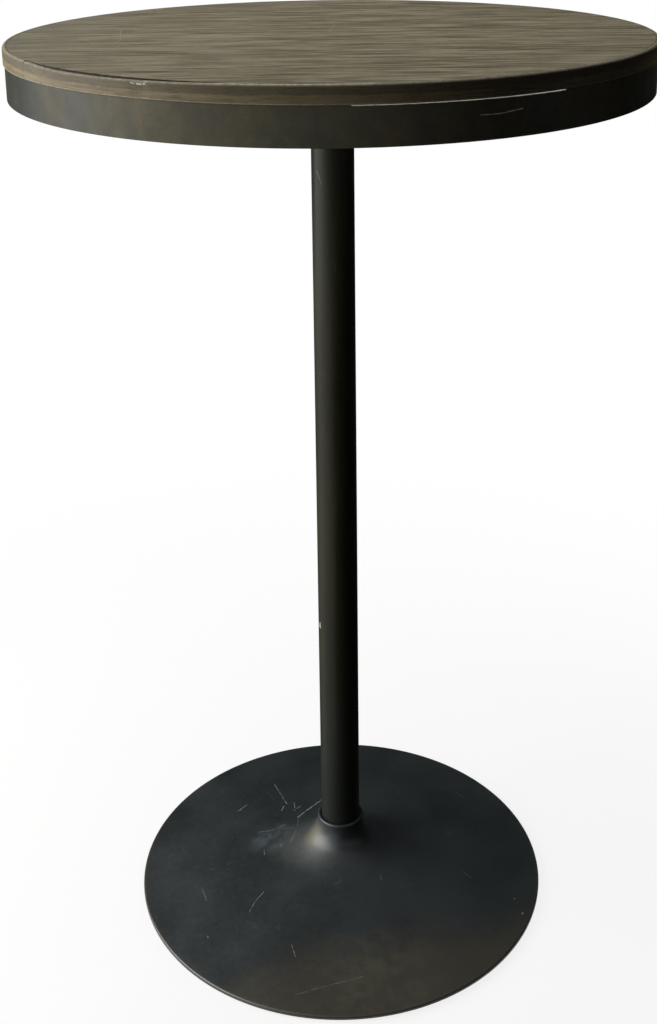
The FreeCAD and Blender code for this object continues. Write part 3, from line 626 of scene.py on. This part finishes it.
spider = bpy.data.objects.new("spider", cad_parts["spider"].data.copy())
bpy.context.scene.collection.objects.link(spider)
cast_build = bmesh.new()
cast_build.from_mesh(spider.data)
bmesh.ops.remove_doubles(cast_build, verts=cast_build.verts, dist=1e-6)
cast_build.to_mesh(spider.data)
cast_build.free()
blank = spider.modifiers.new("blank", "REMESH")
blank.mode = "VOXEL"
blank.voxel_size = SPIDER_VOXEL
softened = spider.modifiers.new("softened", "SMOOTH")
softened.factor = 0.5
softened.iterations = SPIDER_SOFTENING
settled(spider)
spider.data.shade_smooth()

cast_iron, tree, coords = new_finish("painted_cast_iron", specular=0.35)
sand = node(tree, "ShaderNodeTexNoise", {
    "Vector": coords["Object"],
    "Scale": 650.0,
    "Detail": 3.0,
}).outputs[0]
thin_paint = placed(tree, mottling, {"Vector": coords["Object"], "Size": 0.02, "Spread": 0.2})["Mask"]
black = blended(tree, thin_paint, paint("#1b1b1b"), paint("#272625"))
surface(tree, black, spread(tree, sand, 0.42, 0.66), sand, 0.0004)
spider.data.materials.clear()
spider.data.materials.append(cast_iron)
stands_for(spider, "spider")


# Core and backer of the top: a particle board with a brown balancing sheet glued to its underside.
# The rim of the core is dark with glue where the edge band was pressed on.

GLUE_FROM = 0.3440
GLUE_FULL = 0.3452

core_board, tree, coords = new_finish("particle_board", specular=0.2)
where = coords["Object"]
flakes = node(tree, "ShaderNodeTexVoronoi", {"Vector": where, "Scale": 420.0})
axes = node(tree, "ShaderNodeSeparateXYZ", {"Vector": where}).outputs
from_axis = calc(tree, "SQRT", calc(tree, "MULTIPLY_ADD", axes["X"], axes["X"],
                                    calc(tree, "MULTIPLY", axes["Y"], axes["Y"])))
glue = eased(tree, from_axis, GLUE_FROM, GLUE_FULL)
flake_tone = node(tree, "ShaderNodeSeparateColor", {"Color": flakes.outputs["Color"]}).outputs[0]
board = blended(tree, flake_tone, paint("#6d5638"), paint("#a3865d"))
board = blended(tree, glue, board, paint("#1b150f"))
surface(tree, board, spread(tree, flake_tone, 0.6, 0.85), flakes.outputs["Distance"], 0.0002)
dress("top_core", core_board)

fibre_grain, entry = effect("fibre_grain", {
    "Vector": (0.0, 0.0, 0.0),
    "Length": 0.2,
    "Width": 0.006,
    "Wander": 0.3,
}, ["Streak", "Pores"])
per_length = calc(fibre_grain, "DIVIDE", 1.0, entry["Length"])
per_width = calc(fibre_grain, "DIVIDE", 1.0, entry["Width"])
stretch = node(fibre_grain, "ShaderNodeCombineXYZ", {"X": per_length, "Y": per_width, "Z": per_width})
straight = vector_calc(fibre_grain, "MULTIPLY", entry["Vector"], stretch.outputs[0])
lean = node(fibre_grain, "ShaderNodeTexNoise", {
    "Vector": entry["Vector"],
    "Scale": calc(fibre_grain, "MULTIPLY", per_length, 2.0),
    "Detail": 2.0,
}).outputs["Color"]
lean = vector_calc(fibre_grain, "SUBTRACT", lean, (0.5, 0.5, 0.5))
wandering = node(fibre_grain, "ShaderNodeVectorMath", {0: lean, "Scale": entry["Wander"]}, operation="SCALE")
fibres = vector_calc(fibre_grain, "ADD", straight, wandering.outputs[0])
streak = node(fibre_grain, "ShaderNodeTexNoise", {
    "Vector": fibres,
    "Scale": 1.0,
    "Detail": 6.0,
    "Roughness": 0.62,
}).outputs[0]
pore_field = vector_calc(fibre_grain, "MULTIPLY", fibres, (6.0, 4.5, 4.5))
pore = node(fibre_grain, "ShaderNodeTexNoise", {"Vector": pore_field, "Scale": 1.0, "Detail": 1.5}).outputs[0]
node(fibre_grain, "NodeGroupOutput", {
    "Streak": eased(fibre_grain, streak, 0.28, 0.72),
    "Pores": eased(fibre_grain, pore, 0.58, 0.70),
})

backer, tree, coords = new_finish("balancing_sheet", specular=0.3)
grain = placed(tree, fibre_grain, {"Vector": coords["Object"], "Length": 0.12, "Width": 0.004, "Wander": 0.5})
pressed = placed(tree, mottling, {"Vector": coords["Object"], "Size": 0.06, "Spread": 0.2})["Mask"]
sheet = blended(tree, grain["Streak"], paint("#75614a"), paint("#8a7359"))
sheet = blended(tree, calc(tree, "MULTIPLY", pressed, 0.3), sheet, paint("#94805f"))
surface(tree, sheet, spread(tree, grain["Streak"], 0.48, 0.6), grain["Pores"], 0.00005)
dress("backer_sheet", backer)


# Face of the top: a weathered wood veneer, its grain running from left to right, under a worn matt lacquer.
# It is pressed on the core and trimmed a hair short of the edge band, and its edge is dark with glue.

VENEER_ARRIS = 0.0002

low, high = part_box("top_veneer")
veneer_radius = high.x
veneer_section = [
    (0.0, low.z),
    (veneer_radius, low.z),
    (veneer_radius, high.z - VENEER_ARRIS),
    (veneer_radius - VENEER_ARRIS, high.z),
    (0.0, high.z),
]
veneer = turned("top_veneer", veneer_section, steps=256)

veneer_scuffs = [
    ((-0.2350, 0.0444), (-0.2235, -0.0391), 0.0016),
    ((-0.2235, -0.0391), (-0.2269, -0.0746), 0.0014),
    ((-0.2723, -0.0131), (-0.2456, -0.0675), 0.0013),
    ((-0.0058, 0.1217), (0.0047, 0.0718), 0.0014),
    ((0.0047, 0.0718), (-0.0029, 0.0052), 0.0014),
    ((0.2910, 0.0149), (0.2893, -0.0270), 0.0013),
]
veneer_wood, tree, coords = new_finish("weathered_veneer", specular=0.05)
where = coords["Object"]
axes = node(tree, "ShaderNodeSeparateXYZ", {"Vector": where}).outputs
broad = placed(tree, fibre_grain, {"Vector": where, "Length": 0.30, "Width": 0.030, "Wander": 0.5})
figure = placed(tree, fibre_grain, {"Vector": where, "Length": 0.075, "Width": 0.0065, "Wander": 0.5})
fine = placed(tree, fibre_grain, {"Vector": where, "Length": 0.10, "Width": 0.0030, "Wander": 0.3})
sheen_breakup = placed(tree, mottling, {"Vector": where, "Size": 0.16, "Spread": 0.2})["Mask"]
scuffs = strokes(tree, where, veneer_scuffs)
tone = calc(tree, "MULTIPLY_ADD", figure["Streak"], 0.45, calc(tree, "MULTIPLY", broad["Streak"], 0.2))
tone = calc(tree, "MULTIPLY_ADD", fine["Streak"], 0.35, tone)
wood = blended(tree, eased(tree, tone, 0.15, 0.85), paint("#4e4739"), paint("#989079"))
wood = blended(tree, calc(tree, "MULTIPLY", figure["Pores"], 0.4), wood, paint("#484133"))
wood = blended(tree, calc(tree, "MULTIPLY", fine["Pores"], 0.35), wood, paint("#39332a"))
# Painted sheen: the left of the top is greyed, standing in for the sheen of the light from the left.
painted_left_sheen = calc(tree, "MULTIPLY", eased(tree, axes["X"], 0.1, -0.35), sheen_breakup)
wood = blended(tree, calc(tree, "MULTIPLY", painted_left_sheen, 0.5), wood, paint("#757265"))
wood = blended(tree, calc(tree, "MULTIPLY", scuffs, 0.4), wood, paint("#a39d8d"))
trimmed = eased(tree, axes["Z"], high.z - 0.0001, high.z - 0.0003)
wood = blended(tree, trimmed, wood, paint("#1b150f"))
surface(tree, wood, spread(tree, tone, 0.62, 0.52), calc(tree, "SUBTRACT", tone, fine["Pores"]), 0.00012)
veneer.data.materials.append(veneer_wood)
stands_for(veneer, "top_veneer")


# Edge band: one strip of stained wood, bent round the core and glued, its top arris rounded over.
# Its ends meet at the left of the photograph; from there the strip has sunk a little below the veneer, and
# it has a nick in the arris.

BAND_LOW = 1.062
BAND_HIGH = 1.080
BAND_OUTER = 0.350
BAND_INNER = 0.346
BAND_ROUNDING = 0.003
BAND_CHAMFER = 0.0005
BAND_JOINT = 212.0
BAND_GAP = 0.0004
BAND_SINK_AT_JOINT = 0.0006
BAND_SINK = 0.0022
BAND_SINK_FULL = 222.0
BAND_SINK_HELD = 232.0
BAND_SINK_END = 264.0
NICK_FIRST = 239.3
NICK_LAST = 242.4
NICK_DEPTH = 0.0009
NICK_ABOVE = 0.8
NICK_INWARD = 0.7
NICK_STOPS_SHORT = 0.001
ROUNDING_STEPS = 8

band_section = [(BAND_OUTER, BAND_LOW + BAND_CHAMFER)]
for step in range(ROUNDING_STEPS + 1):
    turn = math.radians(90 * step / ROUNDING_STEPS)
    band_section.append((BAND_OUTER - BAND_ROUNDING * (1 - math.cos(turn)),
                         BAND_HIGH - BAND_ROUNDING * (1 - math.sin(turn))))
band_section += [(BAND_INNER, BAND_HIGH), (BAND_INNER, BAND_LOW), (BAND_OUTER - BAND_CHAMFER, BAND_LOW)]


def ramp(value, first, last):
    """0 up to the first value, 1 from the last on, and a soft slope between them."""
    share = min(max((value - first) / (last - first), 0.0), 1.0)
    return share * share * (3 - 2 * share)


def worn_band(degrees, radius, height):
    """The strip lies low beside its joint, and its arris is nicked."""
    rise = (height - BAND_LOW) / (BAND_HIGH - BAND_LOW)
    sunk = BAND_SINK_AT_JOINT + (BAND_SINK - BAND_SINK_AT_JOINT) * ramp(degrees, BAND_JOINT, BAND_SINK_FULL)
    height -= sunk * rise * (1.0 - ramp(degrees, BAND_SINK_HELD, BAND_SINK_END))
    across = (degrees - NICK_FIRST) / (NICK_LAST - NICK_FIRST)
    if 0.0 < across < 1.0 and rise > NICK_ABOVE and radius > BAND_INNER + NICK_STOPS_SHORT:
        dent = NICK_DEPTH * math.sin(math.pi * across) ** 0.6
        radius -= dent * NICK_INWARD
        height -= dent
    return radius, height


band_gap_degrees = math.degrees(BAND_GAP / BAND_OUTER)
band = turned("edge_band", band_section, steps=720, first=BAND_JOINT + band_gap_degrees / 2,
              sweep=360.0 - band_gap_degrees, shaped=worn_band)


def along_band(degrees):
    """A place on the strip, in metres from its joint."""
    return math.radians(degrees - BAND_JOINT) * BAND_OUTER


edge_wood, tree, coords = new_finish("stained_edge_wood", specular=0.12)
where = coords["UV"]
axes = node(tree, "ShaderNodeSeparateXYZ", {"Vector": where}).outputs
grain = placed(tree, fibre_grain, {"Vector": where, "Length": 0.11, "Width": 0.0035, "Wander": 0.3})
stain = placed(tree, mottling, {"Vector": where, "Size": 0.045, "Spread": 0.18})["Mask"]
painted_sheen_and_rub = placed(tree, mottling, {"Vector": where, "Size": 0.006, "Spread": 0.2})["Mask"]
wood = blended(tree, grain["Streak"], paint("#665b44"), paint("#82775d"))
wood = blended(tree, calc(tree, "MULTIPLY", stain, 0.35), wood, paint("#5d5340"))
upper = eased(tree, calc(tree, "MULTIPLY_ADD", painted_sheen_and_rub, 0.0012, axes["Y"]), 0.0078, 0.0096)
wood = blended(tree, calc(tree, "MULTIPLY", upper, 0.8), wood, paint("#524b3c"))
wood = blended(tree, calc(tree, "MULTIPLY", grain["Pores"], 0.55), wood, paint("#3a3122"))
arris = calc(tree, "MULTIPLY", eased(tree, axes["Y"], 0.0155, 0.0170), spread(tree, painted_sheen_and_rub, 0.35, 0.9))
wood = blended(tree, arris, wood, paint("#8f8a7a"))
lower_arris = calc(tree, "MULTIPLY", eased(tree, axes["Y"], 0.0012, 0.0003), spread(tree, painted_sheen_and_rub, 0.1, 0.9))
wood = blended(tree, lower_arris, wood, paint("#a39a80"))
# Painted highlight: a pale line along the arris at the front.
front_first, front_last = along_band(249.0), along_band(277.0)
painted_front_highlight = calc(tree, "MULTIPLY", eased(tree, axes["X"], front_first, front_first + 0.03),
                   eased(tree, axes["X"], front_last, front_last - 0.01))
painted_front_highlight = calc(tree, "MULTIPLY", painted_front_highlight, eased(tree, axes["Y"], 0.0172, 0.0184))
wood = blended(tree, calc(tree, "MULTIPLY", painted_front_highlight, spread(tree, painted_sheen_and_rub, 0.3, 1.0)), wood, paint("#b5ac96"))
# Painted glints: three pale strokes along the nick; the dent itself is shaped in the strip.
nick_start, nick_length = along_band(NICK_FIRST), along_band(NICK_LAST) - along_band(NICK_FIRST)
glints = [((nick_start + first * nick_length, 0.0152), (nick_start + last * nick_length, 0.0150), 0.0007)
          for first, last in ((0.0, 0.2), (0.34, 0.62), (0.74, 0.86))]
painted_glints_and_bare_metal = strokes(tree, where, glints, waver=0.0005, breaks=0.3)
wood = blended(tree, painted_glints_and_bare_metal, wood, paint("#e6e2d6"))
fibres = calc(tree, "SUBTRACT", grain["Streak"], grain["Pores"])
surface(tree, wood, spread(tree, grain["Streak"], 0.6, 0.46), fibres, 0.0001)
band.data.materials.append(edge_wood)
stands_for(band, "edge_band")


# Apron: a strip of steel rolled into a hoop and set just inside the edge of the top.
# It has the same dark patina as the base, waxed, browner and cloudier; its upper edge is rubbed to bare
# metal for a stretch at the front.

APRON_OUTER = 0.3485
APRON_INNER = 0.3465
APRON_ROUNDING = 0.0004
APRON_SEAM = 90.0

low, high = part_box("apron_band")
apron_low = low.z
edge = APRON_ROUNDING
apron_section = [
    (APRON_OUTER, low.z + edge),
    (APRON_OUTER, high.z - edge),
    (APRON_OUTER - edge, high.z),
    (APRON_INNER + edge, high.z),
    (APRON_INNER, high.z - edge),
    (APRON_INNER, low.z + edge),
    (APRON_INNER + edge, low.z),
    (APRON_OUTER - edge, low.z),
]
apron = turned("apron_band", apron_section, steps=256, first=APRON_SEAM)


def on_apron(degrees, height):
    """A place on the outer face, in the metres of its map."""
    return (math.radians((degrees - APRON_SEAM) % 360.0) * APRON_OUTER, height - apron_low)


apron_bright_edge = [(on_apron(-87.2, 1.0611), on_apron(-52.7, 1.0608), 0.0011)]
apron_scratch = [
    (on_apron(-68.1, 1.0468), on_apron(-64.9, 1.0465), 0.0006),
    (on_apron(-64.9, 1.0465), on_apron(-60.9, 1.0490), 0.0006),
]
apron_steel, tree, coords = new_finish("patinated_hoop", specular=0.08)
where = coords["Object"]
upright = node(tree, "ShaderNodeMapping", {"Vector": where, "Scale": (1.0, 1.0, 0.25)}).outputs[0]
zones = placed(tree, mottling, {"Vector": upright, "Size": 0.07, "Spread": 0.25})["Mask"]
clouds = placed(tree, mottling, {"Vector": where, "Size": 0.018, "Spread": 0.25})["Mask"]
specks = placed(tree, mottling, {"Vector": where, "Size": 0.0025, "Spread": 0.2})["Mask"]
rubbed = placed(tree, hairlines, {"Vector": coords["UV"], "Heading": 0.1, "Length": 0.05})["Mask"]
axes = node(tree, "ShaderNodeSeparateXYZ", {"Vector": where}).outputs
# Painted shade: the left end of the hoop is darker, standing in for how the light falls there.
painted_shade_left_end = calc(tree, "MULTIPLY", eased(tree, axes["X"], -0.20, -0.32), 0.85)
bright_edge = strokes(tree, coords["UV"], apron_bright_edge, waver=0.0003, breaks=0.25)
scratch = strokes(tree, coords["UV"], apron_scratch, waver=0.0005, breaks=0.5)
steel = blended(tree, zones, paint("#464a46"), paint("#655e4a"))
steel = blended(tree, calc(tree, "MULTIPLY", clouds, 0.5), steel, paint("#45463c"))
steel = blended(tree, painted_shade_left_end, steel, paint("#222320"))
steel = blended(tree, calc(tree, "MULTIPLY", specks, 0.12), steel, paint("#292822"))
steel = blended(tree, calc(tree, "MULTIPLY", rubbed, 0.15), steel, paint("#8d8b80"))
painted_glints_and_bare_metal = calc(tree, "MAXIMUM", bright_edge, calc(tree, "MULTIPLY", scratch, 0.6))
steel = blended(tree, painted_glints_and_bare_metal, steel, paint("#d3cec2"))
waxed = calc(tree, "MULTIPLY_ADD", zones, 0.08, spread(tree, clouds, 0.38, 0.46))
waxed = calc(tree, "MULTIPLY_ADD", painted_glints_and_bare_metal, -0.2, waxed)
surface(tree, steel, waxed, calc(tree, "SUBTRACT", specks, painted_glints_and_bare_metal), 0.00004, metallic=painted_glints_and_bare_metal)
apron.data.materials.append(apron_steel)
stands_for(apron, "apron_band")


# Apron clips: eight pressed angles, one leg on the inside of the hoop and one under the top.
# Each is folded from zinc-plated strip, so both its corners are round.

CLIP_LEG = 0.024
CLIP_THICKNESS = 0.0025
CLIP_WIDTH = 0.030
CLIP_COUNT = 8
CLIP_FIRST = 22.5
CLIP_INNER_BEND = 0.001

clip_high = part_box("apron_clips")[1].z
clip_end = CLIP_LEG - CLIP_THICKNESS - CLIP_INNER_BEND
clip_bend = bend(CLIP_THICKNESS + CLIP_INNER_BEND, -90.0, 6)
clip_moves = [(clip_end, 0.0, 1), clip_bend, (clip_end, 0.0, 1)]
clip_section = spun((APRON_INNER - CLIP_LEG, clip_high), 0.0, clip_moves, CLIP_THICKNESS)
clip_degrees = math.degrees(CLIP_WIDTH / APRON_INNER)
clips = turned("apron_clips", clip_section, steps=8, first=-clip_degrees / 2, sweep=clip_degrees)
set_round(clips, CLIP_COUNT, CLIP_FIRST, zinc)
stands_for(clips, "apron_clips")


# Wood screws: pan heads with a cross recess, eight through the clips and eight through the spider's feet.
# Zinc-plated steel, driven up into the core board.

SCREW_SHANK = 0.0024
SCREW_HEAD = 0.005
SCREW_HEAD_EDGE = 0.0002
SCREW_RIM = 0.0014
SCREW_CROWN = 0.0018
SCREW_CROWN_STEPS = 6
SCREW_BITE = 0.011
SCREW_POINT = 0.004
RECESS_SPAN = 0.005
RECESS_WIDTH = 0.0012
RECESS_DEPTH = 0.0016
UNDERSIDE = BAND_LOW


def wood_screw(name, seat):
    """One screw on the Z axis, its head bearing on the level seat."""
    crown = seat - SCREW_RIM - SCREW_CROWN
    dome = (SCREW_HEAD ** 2 + SCREW_CROWN ** 2) / (2 * SCREW_CROWN)
    lean = math.asin(SCREW_HEAD / dome)
    section = []
    for step in range(SCREW_CROWN_STEPS + 1):
        slope = lean * step / SCREW_CROWN_STEPS
        section.append((dome * math.sin(slope), crown + dome * (1 - math.cos(slope))))
    tip = UNDERSIDE + SCREW_BITE
    section += [(SCREW_HEAD, seat - SCREW_HEAD_EDGE), (SCREW_HEAD - SCREW_HEAD_EDGE, seat),
                (SCREW_SHANK, seat), (SCREW_SHANK, tip - SCREW_POINT), (0.0, tip)]
    screw = turned(name, section, steps=32)
    for span, width in ((RECESS_SPAN, RECESS_WIDTH), (RECESS_WIDTH, RECESS_SPAN)):
        recess = bmesh.new()
        bmesh.ops.create_cube(recess, size=1.0)
        bmesh.ops.scale(recess, verts=recess.verts, vec=(span, width, 2 * RECESS_DEPTH))
        bmesh.ops.translate(recess, verts=recess.verts, vec=(0.0, 0.0, crown))
        cut_by(screw, as_piece("recess", recess))
    return screw


clip_screws = wood_screw("clip_screws", UNDERSIDE - CLIP_THICKNESS)
clip_screws.data.transform(Matrix.Translation((APRON_INNER - (CLIP_LEG + CLIP_THICKNESS) / 2, 0.0, 0.0)))
set_round(clip_screws, CLIP_COUNT, CLIP_FIRST, zinc)
stands_for(clip_screws, "clip_screws")

SPIDER_ARMS = 4
SPIDER_FOOT = 0.201
SPIDER_SCREW_ASIDE = 0.013
SPIDER_FLANGE = 0.005

spider_screws = wood_screw("spider_screws", UNDERSIDE - SPIDER_FLANGE)
pair = bmesh.new()
for aside in (-SPIDER_SCREW_ASIDE, SPIDER_SCREW_ASIDE):
    copy = spider_screws.data.copy()
    copy.transform(Matrix.Translation((SPIDER_FOOT, aside, 0.0)))
    pair.from_mesh(copy)
pair.to_mesh(spider_screws.data)
pair.free()
edged(spider_screws.data)
set_round(spider_screws, SPIDER_ARMS, 0.0, zinc)
stands_for(spider_screws, "spider_screws")


# Studio floor: a pale sheet that runs on to a white background and keeps the soft shadow of the table.
# From below it is clear, so that the underside of the table can be seen.

FLOOR_RADIUS = 30.0
FLOOR_WHITE_FROM = 0.45
FLOOR_WHITE_TO = 1.4
FLOOR_WHITE_SHARE = 0.84


def background_rays(tree):
    """1 for the rays that show a background: the camera's, mirrored ones and those through clear things."""
    rays = node(tree, "ShaderNodeLightPath", {}).outputs
    indirect = calc(tree, "MAXIMUM", rays["Is Glossy Ray"], rays["Is Transmission Ray"])
    return calc(tree, "MAXIMUM", rays["Is Camera Ray"], indirect)


floor_build = bmesh.new()
bmesh.ops.create_circle(floor_build, cap_ends=True, segments=64, radius=FLOOR_RADIUS)
floor = as_piece("floor", floor_build)
pale = bpy.data.materials.new("pale_floor")
pale.use_nodes = True
tree = pale.node_tree
tree.nodes.clear()
where = node(tree, "ShaderNodeTexCoord", {}).outputs["Object"]
far = eased(tree, vector_calc(tree, "LENGTH", where), FLOOR_WHITE_FROM, FLOOR_WHITE_TO)
white = node(tree, "ShaderNodeEmission", {"Color": paint("#ffffff"), "Strength": 1.0}).outputs[0]
sheet = node(tree, "ShaderNodeBsdfDiffuse", {"Color": paint("#f4f4f2")}).outputs[0]
grey = node(tree, "ShaderNodeBsdfDiffuse", {"Color": paint("#5c5c5b")}).outputs[0]
clear = node(tree, "ShaderNodeBsdfTransparent", {}).outputs[0]
lit = calc(tree, "MULTIPLY_ADD", far, 1.0 - FLOOR_WHITE_SHARE, FLOOR_WHITE_SHARE)
near_floor = node(tree, "ShaderNodeMixShader", {0: lit, 1: sheet, 2: white}).outputs[0]
by_ray = node(tree, "ShaderNodeMixShader", {0: background_rays(tree), 1: grey, 2: near_floor}).outputs[0]
below = node(tree, "ShaderNodeNewGeometry", {}).outputs["Backfacing"]
floor_shader = node(tree, "ShaderNodeMixShader", {0: below, 1: by_ray, 2: clear}).outputs[0]
node(tree, "ShaderNodeOutputMaterial", {"Surface": floor_shader})
floor.data.materials.append(pale)


# Studio light: a soft box as large as a window at the left, a smaller one above the top, a weak one behind,
# a faint even fill, and a black cloth on the floor and round the right and the back that waxed steel mirrors.
# The lamps and the cloth are out of the camera's sight; the world is white where it is seen or mirrored.

CLOTH_INNER = 0.262
CLOTH_RADIUS = 1.5
CLOTH_HEIGHT = 3.2
CLOTH_FIRST = -110.0
CLOTH_LAST = 155.0
CLOTH_PARTED_TO = -8.0
CLOTH_PARTED_LOW = 0.74
CLOTH_PARTED_HIGH = 0.98
CLOTH_THICKNESS = 0.002
FILL = 0.02


def soft_box(name, place, aim, width, height, watts, mirrored=True):
    """A rectangular lamp at a place, turned to its aim. No camera sees it; waxed steel may mirror it."""
    lamp = bpy.data.lights.new(name, "AREA")
    lamp.shape = "RECTANGLE"
    lamp.size = width
    lamp.size_y = height
    lamp.energy = watts
    box = bpy.data.objects.new(name, lamp)
    box.location = place
    box.rotation_euler = (Vector(place) - Vector(aim)).to_track_quat("Z", "Y").to_euler()
    box.visible_camera = False
    box.visible_glossy = mirrored
    bpy.context.scene.collection.objects.link(box)


soft_box("window_box", (-1.9, -0.3, 1.25), (0.0, 0.0, 0.75), 2.2, 1.9, 70.0)
soft_box("top_box", (-0.3, 0.1, 2.7), (0.0, 0.0, 1.08), 0.9, 0.9, 17.0)
soft_box("back_box", (1.1, 1.7, 1.1), (0.0, 0.0, 0.7), 1.2, 1.6, 20.0, mirrored=False)


def parted(degrees, radius, height):
    """The upper cloth is gathered up off the lower one at the front."""
    return radius, max(height, CLOTH_PARTED_HIGH) if degrees < CLOTH_PARTED_TO else height


cloth_black, tree, coords = new_finish("black_cloth", specular=0.0)
cloth_shader = tree.nodes["Principled BSDF"]
cloth_shader.inputs["Base Color"].default_value = paint("#0a0a0a")
cloth_shader.inputs["Roughness"].default_value = 1.0
back = CLOTH_RADIUS + CLOTH_THICKNESS
laid = 2 * CLOTH_THICKNESS
lower_section = [
    (CLOTH_INNER, laid),
    (CLOTH_RADIUS, laid),
    (CLOTH_RADIUS, CLOTH_PARTED_LOW),
    (back, CLOTH_PARTED_LOW),
    (back, laid - CLOTH_THICKNESS),
    (CLOTH_INNER, laid - CLOTH_THICKNESS),
]
upper_section = [
    (CLOTH_RADIUS, CLOTH_PARTED_LOW),
    (CLOTH_RADIUS, CLOTH_HEIGHT),
    (back, CLOTH_HEIGHT),
    (back, CLOTH_PARTED_LOW),
]
for name, section, shaped in (("lower_cloth", lower_section, None), ("upper_cloth", upper_section, parted)):
    cloth = turned(name, section, steps=48, first=CLOTH_FIRST, sweep=CLOTH_LAST - CLOTH_FIRST, shaped=shaped)
    cloth.data.materials.append(cloth_black)
    cloth.visible_camera = False
    cloth.visible_shadow = False
    cloth.visible_diffuse = False

world = bpy.data.worlds.new("studio")
world.use_nodes = True
tree = world.node_tree
tree.nodes.clear()
level = spread(tree, background_rays(tree), FILL, 1.0)
sky = node(tree, "ShaderNodeBackground", {"Color": paint("#ffffff"), "Strength": level}).outputs[0]
node(tree, "ShaderNodeOutputWorld", {"Surface": sky})
bpy.context.scene.world = world
bpy.context.scene.view_settings.view_transform = "Standard"


# Camera: a little higher than the top, looking a little down, at the photograph's viewing angle.
# The shift puts the lens axis near the top of the frame, as in the photograph.

CAMERA_PLACE = Vector((0.0, -1.5508, 1.2731))
CAMERA_PITCH = 16.314
CAMERA_ROLL = -0.684
CAMERA_LENS = 49.905
CAMERA_SENSOR = 36.0
CAMERA_SHIFT = (-0.00528, -0.24299)

lens = bpy.data.cameras.new("camera")
lens.lens = CAMERA_LENS
lens.sensor_width = CAMERA_SENSOR
lens.shift_x, lens.shift_y = CAMERA_SHIFT
camera = bpy.data.objects.new("camera", lens)
camera.matrix_world = (Matrix.Translation(CAMERA_PLACE)
                       @ Matrix.Rotation(math.radians(90.0 - CAMERA_PITCH), 4, "X")
                       @ Matrix.Rotation(math.radians(CAMERA_ROLL), 4, "Z"))
bpy.context.scene.collection.objects.link(camera)
bpy.context.scene.camera = camera
